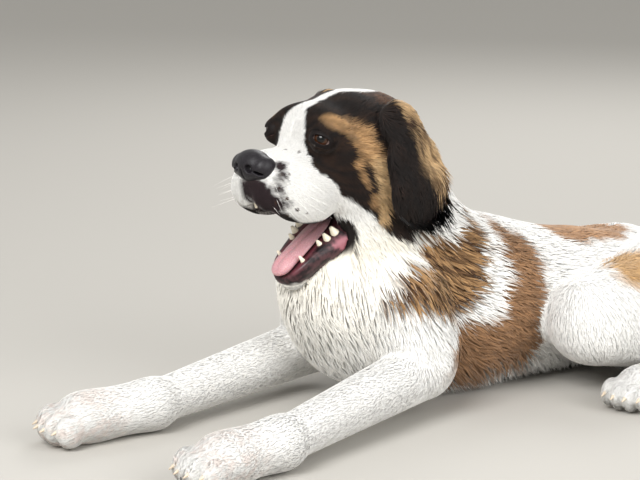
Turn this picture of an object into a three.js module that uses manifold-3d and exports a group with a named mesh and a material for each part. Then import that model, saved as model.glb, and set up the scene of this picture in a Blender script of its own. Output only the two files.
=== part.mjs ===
// A saint bernard puppy lying with its head up, its mouth open and its forelegs stretched out, at life size.
// Millimetres, +Z up, the floor at z = 0. It faces -Y, and its left side is +X.
import * as THREE from "three";
import { mergeVertices } from "three/addons/utils/BufferGeometryUtils.js";
import Module from "manifold-3d";

const wasm = await Module();
wasm.setup();

// Driving dimensions
const GAP = 0.3; // clear space between touching nodes
const BACK_TOP = 172; // withers above the floor
const CHEST_HALF = 94; // half the width of the rib cage
const LEG_R = 21; // foreleg at the middle of the forearm
const PAW_HALF = 32; // half the width of a forepaw
const SKULL_TOP = 304; // crown above the floor
const SKULL_HALF = 57; // half the width of the skull
const EYE_R = 10.5; // radius of an eyeball
const EAR_HALF = 9; // half the thickness of an ear's flap with its fur
const SEED = 20260; // sets where the locks of the coat lie

// Places on the animal, each as [x, y, z]
const EYE = [33, -88, 266];
const GAZE = [0.62, -0.76, 0.16]; // the way the left eye looks
const NOSE = [0, -143, 243];
const CHIN = [0, -97, 142];
const ELBOW = { left: [80, -8, 44], right: [-78, -8, 40] };
const WRIST = { left: [134, -222, 26], right: [-40, -232, 26] };
const FOREPAW = { left: [133, -284, 22], right: [-52, -300, 22] };
const HIP = { left: [88, 318, 78], right: [0, 345, 76] };
const STIFLE = { left: [122, 178, 72], right: [-92, 215, 72] };
const HOCK = { left: [172, 285, 30], right: [-128, 322, 30] };
const HINDPAW = { left: [192, 172, 20], right: [-132, 212, 20] };
const TAIL = [
  [46, 400, 96],
  [56, 446, 58],
  [78, 492, 34],
  [112, 528, 26],
  [152, 544, 24],
  [188, 538, 22],
];
const SIDES = { left: 1, right: -1 };

// Distance fields: each returns the distance to a form, negative inside it
const length = (x, y, z) => Math.sqrt(x * x + y * y + z * z);
const clamp = (v, low, high) => Math.max(low, Math.min(high, v));
const mix = (a, b, t) => a + (b - a) * t;
const smoothMin = (a, b, k) => {
  const h = clamp(0.5 + (0.5 * (b - a)) / k, 0, 1);
  return mix(b, a, h) - k * h * (1 - h);
};
const smoothMax = (a, b, k) => -smoothMin(-a, -b, k);

// An ellipsoid, turned by angles in degrees about X, Y and Z
function ball(c, r, turn = [0, 0, 0]) {
  const m = new THREE.Matrix4().makeRotationFromEuler(new THREE.Euler(...turn.map(THREE.MathUtils.degToRad)));
  const e = m.transpose().elements;
  return (x, y, z) => {
    const a = x - c[0];
    const b = y - c[1];
    const d = z - c[2];
    const u = (e[0] * a + e[4] * b + e[8] * d) / r[0];
    const v = (e[1] * a + e[5] * b + e[9] * d) / r[1];
    const w = (e[2] * a + e[6] * b + e[10] * d) / r[2];
    const k0 = length(u, v, w);
    const k1 = length(u / r[0], v / r[1], w / r[2]);
    return k1 < 1e-9 ? -Math.min(...r) : (k0 * (k0 - 1)) / k1;
  };
}

// A limb from a to b whose radius runs from ra to rb
function limb(a, b, ra, rb) {
  const d = [b[0] - a[0], b[1] - a[1], b[2] - a[2]];
  const dd = d[0] * d[0] + d[1] * d[1] + d[2] * d[2];
  return (x, y, z) => {
    const u = x - a[0];
    const v = y - a[1];
    const w = z - a[2];
    const t = clamp((u * d[0] + v * d[1] + w * d[2]) / dd, 0, 1);
    return length(u - d[0] * t, v - d[1] * t, w - d[2] * t) - mix(ra, rb, t);
  };
}

const blend = (fields, k) => (x, y, z) => {
  let d = fields[0](x, y, z);
  for (let i = 1; i < fields.length; i++) d = smoothMin(d, fields[i](x, y, z), k);
  return d;
};
const flip = ([x, y, z], s) => [x * s, y, z];

// The trunk, which bends a little to the left towards the rump
const trunk = blend(
  [
    ball([0, -14, 90], [68, 68, 72], [-12, 0, 0]),
    ball([0, 96, BACK_TOP - 88], [CHEST_HALF, 142, 88]),
    ball([0, 48, 112], [70, 90, 62]),
    ball([14, 232, 72], [84, 120, 70]),
    ball([38, 342, 62], [82, 84, 60]),
    ball([44, 392, 66], [52, 40, 40]),
  ],
  34,
);
const neck = blend(
  [
    limb([0, 2, 240], [0, 48, 146], 50, 62),
    limb([0, -28, 196], [0, -26, 130], 42, 58),
    ball([0, -56, 112], [50, 40, 42]),
  ],
  30,
);

// A foot: a pad with four toes that fan out at its front, each with a claw
function toePlaces(paw, heading, half, reach) {
  const places = [];
  for (let i = 0; i < 4; i++) {
    const across = (i - 1.5) / 1.5;
    const ahead = reach * (1 - 0.22 * across * across);
    const side = across * half * 0.66;
    places.push([
      paw[0] + heading[0] * ahead - heading[1] * side,
      paw[1] + heading[1] * ahead + heading[0] * side,
      paw[2] - 3,
    ]);
  }
  return places;
}
function foot(paw, root, half, reach) {
  const l = Math.hypot(paw[0] - root[0], paw[1] - root[1]);
  const heading = [(paw[0] - root[0]) / l, (paw[1] - root[1]) / l];
  const yaw = (Math.atan2(heading[1], heading[0]) * 180) / Math.PI;
  const back = [paw[0] - heading[0] * 6, paw[1] - heading[1] * 6, paw[2] + 1];
  const pad = ball(back, [reach * 1.15, half * 0.86, paw[2] - 1], [0, 0, yaw]);
  const places = toePlaces(paw, heading, half, reach);
  const toes = blend(
    places.map((t) => ball([t[0], t[1], t[2] - 1], [reach * 0.56, half * 0.3, paw[2] - 6], [0, 0, yaw])),
    3,
  );
  return { heading, reach, places, field: (x, y, z) => smoothMin(pad(x, y, z), toes(x, y, z), 7) };
}
const FOREPAW_REACH = 27;
const HINDPAW_REACH = 24;
const legs = {};
for (const [side, s] of Object.entries(SIDES)) {
  const fore = foot(FOREPAW[side], WRIST[side], PAW_HALF, FOREPAW_REACH);
  const forearm = blend(
    [limb(ELBOW[side], WRIST[side], LEG_R + 7, LEG_R - 1), limb(WRIST[side], FOREPAW[side], LEG_R, LEG_R - 2)],
    12,
  );
  const shoulder = limb([s * 62, -18, 112], [s * 76, -2, 56], 40, 34);
  const hind = foot(HINDPAW[side], HOCK[side], PAW_HALF - 3, HINDPAW_REACH);
  const thigh = limb(HIP[side], STIFLE[side], 54, 44);
  const belly = ball([s * 20 + (HIP[side][0] + STIFLE[side][0]) / 2, 250, 68], [42, 90, 50], [0, 0, s * 8]);
  const shank = limb(STIFLE[side], HOCK[side], 34, 20);
  const instep = limb(HOCK[side], HINDPAW[side], 20, 17);
  legs[side] = { fore, hind, forearm, shoulder, thigh, belly, shank, instep };
}
const tail = blend(
  TAIL.slice(1).map((b, i) => limb(TAIL[i], b, mix(20, 15, i / 5), mix(20, 15, (i + 1) / 5))),
  8,
);

// The head without its lower jaw
const skullParts = [
  ball([0, -34, SKULL_TOP - 56], [SKULL_HALF, 64, 56]),
  ball([0, -76, 266], [39, 24, 28]),
  ball([0, -4, 258], [42, 34, 38]),
  ball([0, -106, 237], [29, 42, 20], [6, 0, 0]),
  ball([0, -128, 232], [25, 20, 21]),
];
for (const s of [1, -1]) {
  skullParts.push(
    ball([s * 36, -30, 222], [26, 40, 42]),
    ball([s * 30, -24, 180], [24, 34, 44], [-8, 0, 0]),
    ball([s * 27, -78, 279], [17, 14, 8], [0, s * 18, s * 12]),
    ball([s * 21, -114, 219], [14, 33, 27], [-6, s * -7, s * 14]),
    ball([s * 28, -94, 214], [14, 32, 26], [10, s * -4, s * 6]),
    ball([s * 12, -139, 219], [11, 10, 17], [0, 0, s * 20]),
  );
}
const skull = blend(skullParts, 11);
const mouthHollow = blend(
  [ball([0, -104, 192], [23, 50, 17], [-5, 0, 0]), ball([0, -66, 176], [26, 34, 24], [-30, 0, 0])],
  10,
);
const jawForm = blend(
  [
    limb([0, -48, 168], CHIN, 31, 20),
    limb([26, -42, 172], [12, -94, 148], 15, 12),
    limb([-26, -42, 172], [-12, -94, 148], 15, 12),
  ],
  8,
);
const tongue = blend(
  [
    ball([0, -66, 172], [19, 26, 7], [30, 0, 0]),
    ball([0, -90, 158], [14, 22, 6.5], [32, 0, 0]),
    ball([0, -108, 146], [12, 13, 6], [40, 0, 0]),
  ],
  6,
);
const JAW_PITCH = THREE.MathUtils.degToRad(40);
const jawTop = (x, y, z) => {
  // the plane of the lower lips, which rises from the chin to the hinge, hollowed along the middle
  const along = (y - CHIN[1]) * Math.cos(JAW_PITCH) + (z - CHIN[2]) * Math.sin(JAW_PITCH);
  const above = (z - CHIN[2]) * Math.cos(JAW_PITCH) - (y - CHIN[1]) * Math.sin(JAW_PITCH);
  return above - 10 + 6 * Math.exp(-((x / 15) ** 2)) + along * 0.02;
};
const jaw = (x, y, z) => smoothMax(jawForm(x, y, z), jawTop(x, y, z), 4);

const bodyField = (x, y, z) => {
  let d = smoothMin(trunk(x, y, z), neck(x, y, z), 26);
  for (const leg of Object.values(legs)) {
    d = smoothMin(d, leg.shoulder(x, y, z), 24);
    d = smoothMin(d, leg.thigh(x, y, z), 16);
    d = smoothMin(d, leg.belly(x, y, z), 16);
    const foreleg = smoothMin(leg.forearm(x, y, z), leg.fore.field(x, y, z), 8);
    const shank = smoothMin(leg.shank(x, y, z), leg.instep(x, y, z), 10);
    d = smoothMin(d, foreleg, 12);
    d = smoothMin(d, smoothMin(shank, leg.hind.field(x, y, z), 8), 8);
  }
  return smoothMin(d, tail(x, y, z), 14);
};
const headField = (x, y, z) => smoothMax(skull(x, y, z), -mouthHollow(x, y, z), 4);
const flesh = (x, y, z) => {
  const whole = smoothMin(bodyField(x, y, z), headField(x, y, z), 22);
  return Math.max(whole, -mouthHollow(x, y, z), -z);
};
const ear = blend(
  [
    ball([55, -15, 277], [EAR_HALF, 24, 22], [0, -24, 0]),
    ball([66, -11, 243], [EAR_HALF, 31, 32], [0, -6, 10]),
    ball([71, -4, 211], [EAR_HALF, 38, 29], [-14, 0, 8]),
  ],
  10,
);

// A field's zero surface as a closed mesh: one vertex in each cell that the surface crosses
function surfaceOf(field, low, high, cell) {
  const n = low.map((v, i) => Math.ceil((high[i] - v) / cell) + 1);
  const at = (i, j, k) => (i * n[1] + j) * n[2] + k;
  const value = new Float32Array(n[0] * n[1] * n[2]);
  for (let i = 0; i < n[0]; i++)
    for (let j = 0; j < n[1]; j++)
      for (let k = 0; k < n[2]; k++) {
        const edge = i * j * k === 0 || i === n[0] - 1 || j === n[1] - 1 || k === n[2] - 1;
        const d = field(low[0] + i * cell, low[1] + j * cell, low[2] + k * cell);
        value[at(i, j, k)] = edge ? Math.max(d, 0.01 * cell) : d;
      }
  // Where two inside corners of a square touch only across it, the square is filled, so that no edge is pinched
  const stride = [n[1] * n[2], n[2], 1];
  for (let changed = true; changed; ) {
    changed = false;
    for (let i = 1; i < n[0] - 1; i++)
      for (let j = 1; j < n[1] - 1; j++)
        for (let k = 1; k < n[2] - 1; k++)
          for (let axis = 0; axis < 3; axis++) {
            const [p, u, v] = [at(i, j, k), stride[axis], stride[(axis + 1) % 3]];
            const square = [p, p + u, p + u + v, p + v];
            const inside = square.map((q) => value[q] < 0);
            if (inside[0] !== inside[2] || inside[1] !== inside[3] || inside[0] === inside[1]) continue;
            for (const q of square) value[q] = Math.min(value[q], -0.02 * cell);
            changed = true;
          }
  }
  const vertex = new Map();
  const points = [];
  for (let i = 0; i < n[0] - 1; i++)
    for (let j = 0; j < n[1] - 1; j++)
      for (let k = 0; k < n[2] - 1; k++) {
        let count = 0;
        const sum = [0, 0, 0];
        for (let axis = 0; axis < 3; axis++)
          for (let e = 0; e < 4; e++) {
            const a = [0, 0, 0];
            a[(axis + 1) % 3] = e & 1;
            a[(axis + 2) % 3] = e >> 1;
            const b = [...a];
            b[axis] = 1;
            const va = value[at(i + a[0], j + a[1], k + a[2])];
            const vb = value[at(i + b[0], j + b[1], k + b[2])];
            if (va < 0 === vb < 0) continue;
            const t = va / (va - vb);
            for (let c = 0; c < 3; c++) sum[c] += mix(a[c], b[c], t);
            count++;
          }
        if (!count) continue;
        vertex.set(at(i, j, k), points.length / 3);
        points.push(...[i, j, k].map((v, c) => low[c] + (v + sum[c] / count) * cell));
      }
  const index = [];
  for (let i = 0; i < n[0] - 1; i++)
    for (let j = 0; j < n[1] - 1; j++)
      for (let k = 0; k < n[2] - 1; k++)
        for (let axis = 0; axis < 3; axis++) {
          const inside = value[at(i, j, k)] < 0;
          const next = [i, j, k];
          next[axis]++;
          if (inside === value[at(...next)] < 0) continue;
          const corner = (p, q) => {
            const c = [i, j, k];
            c[(axis + 1) % 3] -= p;
            c[(axis + 2) % 3] -= q;
            return vertex.get(at(...c));
          };
          const quad = [corner(1, 1), corner(0, 1), corner(0, 0), corner(1, 0)];
          if (!inside) quad.reverse();
          index.push(quad[0], quad[1], quad[2], quad[0], quad[2], quad[3]);
        }
  const g = new THREE.BufferGeometry();
  g.setAttribute("position", new THREE.Float32BufferAttribute(points, 3));
  g.setIndex(index);
  return g;
}

// A geometry as a solid for joining and cutting, and back
function solid(geometry) {
  const bare = geometry.clone();
  for (const name of Object.keys(bare.attributes)) if (name !== "position") bare.deleteAttribute(name);
  const merged = mergeVertices(bare, 1e-3);
  const vertProperties = merged.attributes.position.array;
  const triVerts = new Uint32Array(merged.index.array);
  return new wasm.Manifold(new wasm.Mesh({ numProp: 3, vertProperties, triVerts }));
}
// Whether each edge is shared by exactly two faces that face the same way
function isClosed(index) {
  const edges = new Set();
  for (let i = 0; i < index.length; i += 3)
    for (let c = 0; c < 3; c++) {
      const key = index[i + c] * 1e6 + index[i + ((c + 1) % 3)];
      if (edges.has(key)) return false;
      edges.add(key);
    }
  for (const key of edges) if (!edges.has((key % 1e6) * 1e6 + Math.floor(key / 1e6))) return false;
  return true;
}
// A field as a solid whose faces are joined where they bend less than a share of the cell
function formOf(field, low, high, cell, ease = 0.09) {
  const g = surfaceOf(field, low, high, cell);
  if (!isClosed(g.index.array)) throw new Error("a field has no closed surface");
  return solid(g).simplify(cell * ease);
}
const largest = (made) => made.decompose().reduce((a, b) => (b.volume() > a.volume() ? b : a));

// A solid as a geometry whose corners lie on a fine grid, with each edge shared by exactly two faces.
// Faces flatter than a tolerance are joined, and the first tolerance that leaves the surface closed is used.
const SNAP = 0.01;
const TOLERANCES = [0.1, 0.14, 0.18, 0.08, 0.22, 0.05, 0.26];
function geometryOf(made) {
  for (const tolerance of TOLERANCES) {
    const mesh = largest(largest(made).simplify(tolerance)).getMesh();
    const ids = new Map();
    const points = [];
    const corner = (v) => {
      const p = [0, 1, 2].map((c) => Math.round(mesh.vertProperties[v * mesh.numProp + c] / SNAP) * SNAP);
      const key = p.map((x) => x.toFixed(2)).join();
      if (!ids.has(key)) ids.set(key, points.push(p) - 1);
      return ids.get(key);
    };
    const index = [];
    for (let i = 0; i < mesh.triVerts.length; i += 3) {
      const t = [0, 1, 2].map((c) => corner(mesh.triVerts[i + c]));
      if (t[0] !== t[1] && t[1] !== t[2] && t[2] !== t[0]) index.push(...t);
    }
    if (!isClosed(index)) continue;
    const g = new THREE.BufferGeometry();
    g.setAttribute("position", new THREE.Float32BufferAttribute(points.flat(), 3));
    g.setIndex(index);
    g.computeVertexNormals();
    return g;
  }
  throw new Error("a solid has no closed surface on the grid");
}

// A box by its middle, full sizes, and turn in degrees
const turned = (turn) =>
  new THREE.Matrix4().makeRotationFromEuler(new THREE.Euler(...turn.map(THREE.MathUtils.degToRad)));
function block(c, size, turn = [0, 0, 0], grow = 0) {
  const g = new THREE.BoxGeometry(...size.map((v) => v + 2 * grow));
  return solid(g.applyMatrix4(turned(turn)).translate(...c));
}

// Where the animal is parted: each region is a block, and a node is the flesh in its own region less the earlier ones
const axisOf = (a, b) => {
  const l = Math.hypot(b[0] - a[0], b[1] - a[1]);
  const ahead = [(b[0] - a[0]) / l, (b[1] - a[1]) / l];
  return { ahead, length: l, yaw: THREE.MathUtils.radToDeg(Math.atan2(ahead[1], ahead[0])) };
};
function legBlock(a, b, from, to, width, top) {
  const { ahead, yaw } = axisOf(a, b);
  const middle = (from + to) / 2;
  const c = [a[0] + ahead[0] * middle, a[1] + ahead[1] * middle, top / 2 - 5];
  return [c, [to - from, width, top + 10], [0, 0, yaw]];
}
const NECK_PITCH = -38;
const regions = [];
for (const [side, s] of Object.entries(SIDES)) {
  const reach = axisOf(ELBOW[side], WRIST[side]).length;
  const inner = side === "left" ? 96 : 76;
  const hipCut = side === "left" ? 76 : -58;
  const [elbow, wrist, hock] = [ELBOW[side], WRIST[side], HOCK[side]];
  regions.push(
    {
      name: `forepaw_${side}`,
      cell: 8,
      around: FOREPAW[side],
      half: [60, 66, 40],
      blocks: [legBlock(elbow, wrist, reach + 18, reach + 190, 130, 70)],
    },
    {
      name: `foreleg_${side}`,
      cell: 11,
      around: [(elbow[0] + wrist[0]) / 2, -120, 30],
      half: [80, 150, 56],
      blocks: [legBlock(elbow, wrist, 46, reach + 60, inner, 72)],
    },
    {
      name: `hindpaw_${side}`,
      cell: 8,
      around: HINDPAW[side],
      half: [60, 90, 40],
      blocks: [legBlock(hock, HINDPAW[side], 52, 220, 90, 42)],
    },
    {
      name: `hindleg_${side}`,
      cell: 14,
      around: [hipCut + s * 60, 265, 80],
      half: [95, 170, 96],
      blocks: [[[hipCut + s * 100, 265, 90], [200, 330, 200]]],
    },
  );
}
regions.push(
  {
    name: "tail",
    cell: 10,
    around: [120, 490, 50],
    half: [100, 92, 66],
    blocks: [[[100, 530, 60], [400, 200, 200]]],
  },
  {
    name: "head",
    cell: 7,
    around: [0, -66, 226],
    half: [82, 108, 92],
    blocks: [
      [[0, -104, 254], [200, 220, 200], [NECK_PITCH, 0, 0]],
      [[0, -60, 250], [300, 400, 208]],
    ],
  },
  {
    name: "neck",
    cell: 12,
    around: [0, 0, 170],
    half: [120, 150, 110],
    blocks: [[[0, -83, 210], [260, 330, 190], [36, 0, 0]]],
  },
  {
    name: "torso",
    cell: 16,
    around: [20, 170, 90],
    half: [150, 300, 110],
    blocks: [[[0, 100, 150], [900, 1400, 299.8]]],
  },
);
const cutOf = (region, grow) =>
  region.blocks.map(([c, size, turn]) => block(c, size, turn, grow)).reduce((a, b) => a.intersect(b));
const made = {};
const before = [];
for (const region of regions) {
  const low = region.around.map((v, i) => v - region.half[i]);
  const high = region.around.map((v, i) => v + region.half[i]);
  low[2] = Math.max(low[2], -region.cell * 1.37);
  let form = formOf(flesh, low, high, region.cell).intersect(cutOf(region, 0));
  for (const b of before) form = form.subtract(b);
  made[region.name] = form.subtract(block([0, 100, -50], [1200, 1600, 100]));
  before.push(cutOf(region, GAP));
}

// A turned round form by its middle and radii
function orb(c, r, around = 16, turn = [0, 0, 0], grow = 0) {
  const g = new THREE.SphereGeometry(1, around, Math.round(around * 0.7)).scale(...r.map((v) => v + grow));
  return solid(g.applyMatrix4(turned(turn)).translate(...c));
}

// A bent, tapered, flat or round length: a ring at each point, closed at both ends
function loft(path, halfWidths, halfThicks, up, sides = 6) {
  const points = [];
  const rings = path.length;
  const u = new THREE.Vector3(...up);
  path.forEach((p, i) => {
    const ahead = new THREE.Vector3(...path[Math.min(rings - 1, i + 1)]);
    const t = ahead.sub(new THREE.Vector3(...path[Math.max(0, i - 1)])).normalize();
    const side = new THREE.Vector3().crossVectors(t, u).normalize();
    const top = new THREE.Vector3().crossVectors(side, t);
    for (let k = 0; k < sides; k++) {
      const w = (k / sides) * Math.PI * 2;
      const q = new THREE.Vector3(...p).addScaledVector(side, Math.cos(w) * halfWidths[i]);
      points.push(...q.addScaledVector(top, Math.sin(w) * halfThicks[i]));
    }
  });
  const index = [];
  for (let i = 0; i < rings - 1; i++)
    for (let k = 0; k < sides; k++) {
      const [a, b] = [i * sides + k, i * sides + ((k + 1) % sides)];
      index.push(a, b + sides, b, a, a + sides, b + sides);
    }
  const last = (rings - 1) * sides;
  for (let k = 1; k < sides - 1; k++) index.push(0, k, k + 1, last, last + k + 1, last + k);
  const g = new THREE.BufferGeometry();
  g.setAttribute("position", new THREE.Float32BufferAttribute(points, 3));
  g.setIndex(index);
  const s = solid(g);
  if (s.volume() < 0) throw new Error("a loft is inside out");
  return s;
}
const cone = (a, b, r) => loft([a, b], [r, r * 0.25], [r, r * 0.25], [0.1, 1, 0.2], 6);

// Claws, one at the front of each toe
for (const [side, leg] of Object.entries(legs))
  for (const [name, paw] of [["fore", leg.fore], ["hind", leg.hind]])
    for (const [x, y, z] of paw.places) {
      const at = (ahead, up) => [x + paw.heading[0] * ahead, y + paw.heading[1] * ahead, z + up];
      const reach = paw.reach * 0.56;
      const claw = loft([at(reach - 6, 1), at(reach + 2, 1), at(reach + 7, -5)], [3, 2.6, 0.8], [3, 2.6, 0.8], [0, 0, 1], 5);
      const key = `${name}paw_${side}`;
      made[key] = made[key].add(claw);
    }

// A field's own surface, found by walking inwards from outside
function reach(field, from, way) {
  const p = [...from];
  for (let i = 0; i < 60; i++) {
    const d = field(...p);
    if (Math.abs(d) < 0.05) break;
    p.forEach((v, c) => (p[c] = v + way[c] * d));
  }
  return p;
}
const NEAR = 1.9; // clearance between two forms that are meshed apart
const beside = (field) => (x, y, z) => Math.max(field(x, y, z), NEAR - flesh(x, y, z));
const add = (p, way, by) => p.map((v, i) => v + way[i] * by);
// A form kept a gap away from its neighbours
const STEPS = [0, 1, 2].flatMap((axis) => [GAP, -GAP].map((by) => [0, 0, 0].with(axis, by)));
const clear = (s, neighbours) =>
  neighbours.flatMap((n) => STEPS.map((step) => n.translate(step))).reduce((a, b) => a.subtract(b), s);

// Lower jaw and its teeth: a long one at each side of the front, and broad ones behind
const jawBox = [[-50, -140, 100], [50, -30, 214]];
let jawForms = formOf(beside(jaw), ...jawBox, 6, 0.05);
const LOWER_TEETH = [
  { across: 17, along: 5, r: 3.2, tall: 9 },
  { across: 20, along: 26, r: 3.2, tall: 5 },
  { across: 23, along: 35, r: 4, tall: 7 },
  { across: 25, along: 45, r: 4.5, tall: 7 },
];
const jawUp = [0, -Math.sin(JAW_PITCH), Math.cos(JAW_PITCH)];
for (const s of [1, -1])
  for (const { across, along, r, tall } of LOWER_TEETH) {
    const foot = [s * across, CHIN[1] + along * Math.cos(JAW_PITCH), CHIN[2] + along * Math.sin(JAW_PITCH)];
    const root = reach(jaw, add(foot, jawUp, 30), [0, Math.sin(JAW_PITCH), -Math.cos(JAW_PITCH)]);
    jawForms = jawForms.add(cone(add(root, jawUp, -3), add(root, jawUp, tall), r));
  }

// Upper teeth, inside the lips
const UPPER_TEETH = [
  [3, -139, 3, 5],
  [8, -137, 3, 5],
  [15, -130, 3.4, 10],
  [21, -96, 3.4, 6],
  [23, -86, 4.2, 7],
];
for (const s of [1, -1])
  for (const [x, y, r, tall] of UPPER_TEETH) {
    const root = reach(headField, [s * x, y, 192], [0, 0, 1]);
    made.head = made.head.add(cone(add(root, [0, 0, 1], 3), add(root, [0, 0, -1], tall), r));
  }

made.lower_jaw = clear(jawForms, [made.neck, made.head]);

// Eyes, with lids fused to the head
for (const [side, s] of Object.entries(SIDES)) {
  const gaze = flip(GAZE, s);
  const c = flip(EYE, s);
  made[`eye_${side}`] = orb(c, [EYE_R, EYE_R, EYE_R], 14);
  const lids = new THREE.TorusGeometry(EYE_R * 0.86, 3.2, 5, 16).scale(1, 0.66, 1);
  lids.lookAt(new THREE.Vector3(...gaze)).translate(...add(c, gaze, EYE_R * 0.62));
  made.head = made.head.add(solid(lids)).subtract(orb(c, [EYE_R, EYE_R, EYE_R], 14, [0, 0, 0], GAP));
}

// Nose, with two nostrils and the groove between them
const NOSE_R = [21, 15, 15];
const NOSE_TURN = [-8, 0, 0];
let nose = orb(NOSE, NOSE_R, 16, NOSE_TURN);
for (const s of [1, -1]) {
  const front = [s * 9, NOSE[1] - 15, NOSE[2] - 1];
  nose = nose.subtract(orb(front, [4.4, 8, 3.8], 8, [0, s * 30, s * 14]));
  nose = nose.subtract(orb([s * 17, NOSE[1] - 8, NOSE[2] - 4], [5, 6, 1.6], 6, [0, s * 16, 0]));
}
made.nose = nose.subtract(orb([0, NOSE[1] - 14, NOSE[2] - 10], [1.3, 5, 9], 6));
made.head = made.head.subtract(orb(NOSE, NOSE_R, 16, NOSE_TURN, GAP));

// Ears, which hang against the cheeks
const earBox = [[36, -58, 168], [96, 52, 312]];
made.ear_left = formOf(beside(ear), ...earBox, 7, 0.06);
made.ear_right = made.ear_left.mirror([1, 0, 0]);

// Tongue, which lies in the lower jaw and hangs over its front
const inMouth = (x, y, z) => Math.max(beside(tongue)(x, y, z), NEAR - jaw(x, y, z));
made.tongue = clear(formOf(inMouth, ...jawBox, 4.5, 0.06), [made.lower_jaw]);

// Colours as seen in the photograph
const looks = {
  white: { color: 0xf1ece2, roughness: 0.85 },
  brown: { color: 0x6b4426, roughness: 0.85 },
  dark: { color: 0x2a1b14, roughness: 0.85 },
  eye: { color: 0x2b1a10, roughness: 0.1 },
  nose: { color: 0x17151a, roughness: 0.45 },
  tongue: { color: 0xc9838a, roughness: 0.35 },
  lips: { color: 0x2c2226, roughness: 0.4 },
};
const LOOK_OF = { eye: "eye", nose: "nose", tongue: "tongue", lower: "lips", ear: "dark" };
const materials = {};
for (const [name, look] of Object.entries(looks))
  materials[name] = new THREE.MeshStandardMaterial({ ...look, metalness: 0 });

// The whole animal, moved so that the middle of its box's underside is the origin
const dog = new THREE.Group();
for (const [name, s] of Object.entries(made)) {
  const mesh = new THREE.Mesh(geometryOf(s), materials[LOOK_OF[name.split("_")[0]] ?? "white"]);
  mesh.name = name;
  dog.add(mesh);
}
const box = new THREE.Box3().setFromObject(dog);
const middle = box.getCenter(new THREE.Vector3());
dog.position.set(-middle.x, -middle.y, -box.min.z).divideScalar(SNAP).round().multiplyScalar(SNAP);
const part = new THREE.Group().add(dog);

export default part;
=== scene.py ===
# %% [markdown]
# A saint bernard puppy, lying down, dressed in Blender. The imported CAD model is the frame: it says where
# each part of the animal is and how big it is. Flesh in the frame is replaced here by one skin, a little
# smaller in most places, and by fur that grows out of that skin to about the frame's outline. Eyes, nose,
# tongue, teeth and claws are pieces of their own.

import bpy
import numpy as np
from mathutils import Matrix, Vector


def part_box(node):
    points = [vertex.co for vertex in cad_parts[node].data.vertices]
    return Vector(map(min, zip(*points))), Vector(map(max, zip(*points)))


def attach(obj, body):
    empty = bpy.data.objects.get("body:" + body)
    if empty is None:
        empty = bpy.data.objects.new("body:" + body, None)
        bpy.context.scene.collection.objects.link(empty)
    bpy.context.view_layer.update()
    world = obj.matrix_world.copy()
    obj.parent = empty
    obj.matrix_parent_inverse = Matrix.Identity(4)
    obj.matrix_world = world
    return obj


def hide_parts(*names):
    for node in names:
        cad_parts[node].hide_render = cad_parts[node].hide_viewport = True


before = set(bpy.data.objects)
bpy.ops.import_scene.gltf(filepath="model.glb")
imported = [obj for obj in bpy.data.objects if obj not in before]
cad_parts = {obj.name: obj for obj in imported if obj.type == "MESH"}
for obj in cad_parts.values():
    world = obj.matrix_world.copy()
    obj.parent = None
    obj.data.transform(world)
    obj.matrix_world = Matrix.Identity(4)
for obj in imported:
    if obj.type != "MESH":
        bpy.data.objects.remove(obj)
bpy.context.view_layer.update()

# %% [markdown]
# The animal is easiest to describe in millimetres, in its own frame: it faces -Y, its left side is +X,
# and x = 0 is the middle plane of its head. The CAD frame is the same one, shifted. The left eyeball is a
# plain ball in both, so the middle of its box gives the shift.

# %% The animal's own frame
EYE_R = 10.5  # radius of an eyeball
EYE = (33, -88, 266)
LOOK = (0.62, -0.76, 0.16)  # the way the left eye looks
GAZE = np.array(LOOK) / np.linalg.norm(LOOK)
ASIDE = np.cross([0, 0, 1], GAZE) / np.linalg.norm(np.cross([0, 0, 1], GAZE))
UPWARD = np.cross(GAZE, ASIDE)
low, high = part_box("eye_left")
SHIFT = (np.array(low) + np.array(high)) * 500 - np.array(EYE)
SEED = 4


def to_metres(points):
    return (np.asarray(points, float) + SHIFT) / 1000


print("shift in millimetres:", SHIFT.round(2))

# %% [markdown]
# The flesh is described by distance fields, as it is in the CAD source: a field gives the distance to a
# form, negative inside it. Two fields melt into each other through a smooth minimum, as muscle runs into
# muscle. The same numbers stand in part.mjs, so the skin keeps to the solids. It lies up to five
# millimetres inside them, apart from the wrists, forepaws and eyelids, where it is up to three fuller.

# %% Fields for balls and limbs


def mix(a, b, t):
    return a + (b - a) * t


def smooth_min(a, b, k):
    h = np.clip(0.5 + 0.5 * (b - a) / k, 0, 1)
    return mix(b, a, h) - k * h * (1 - h)


def smooth_max(a, b, k):
    return -smooth_min(-a, -b, k)


def rotation(turn):
    (a, b, c), (d, e, f) = np.cos(np.radians(turn)), np.sin(np.radians(turn))
    about_x = np.array([[1, 0, 0], [0, a, -d], [0, d, a]])
    about_y = np.array([[b, 0, e], [0, 1, 0], [-e, 0, b]])
    about_z = np.array([[c, -f, 0], [f, c, 0], [0, 0, 1]])
    return about_x @ about_y @ about_z


def ball(c, r, turn=(0, 0, 0)):
    m = rotation(turn).T.astype(np.float32)

    def field(x, y, z):
        a, b, d = x - c[0], y - c[1], z - c[2]
        u, v, w = [(m[i][0] * a + m[i][1] * b + m[i][2] * d) / r[i] for i in range(3)]
        near = np.sqrt(u * u + v * v + w * w)
        steep = np.sqrt((u / r[0]) ** 2 + (v / r[1]) ** 2 + (w / r[2]) ** 2) + 1e-9
        return near * (near - 1) / steep

    return field


def limb(a, b, ra, rb):
    d = np.subtract(b, a).astype(np.float32)

    def field(x, y, z):
        u, v, w = x - a[0], y - a[1], z - a[2]
        t = np.clip((u * d[0] + v * d[1] + w * d[2]) / (d @ d), 0, 1)
        return np.sqrt((u - d[0] * t) ** 2 + (v - d[1] * t) ** 2 + (w - d[2] * t) ** 2) - mix(ra, rb, t)

    return field


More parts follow.
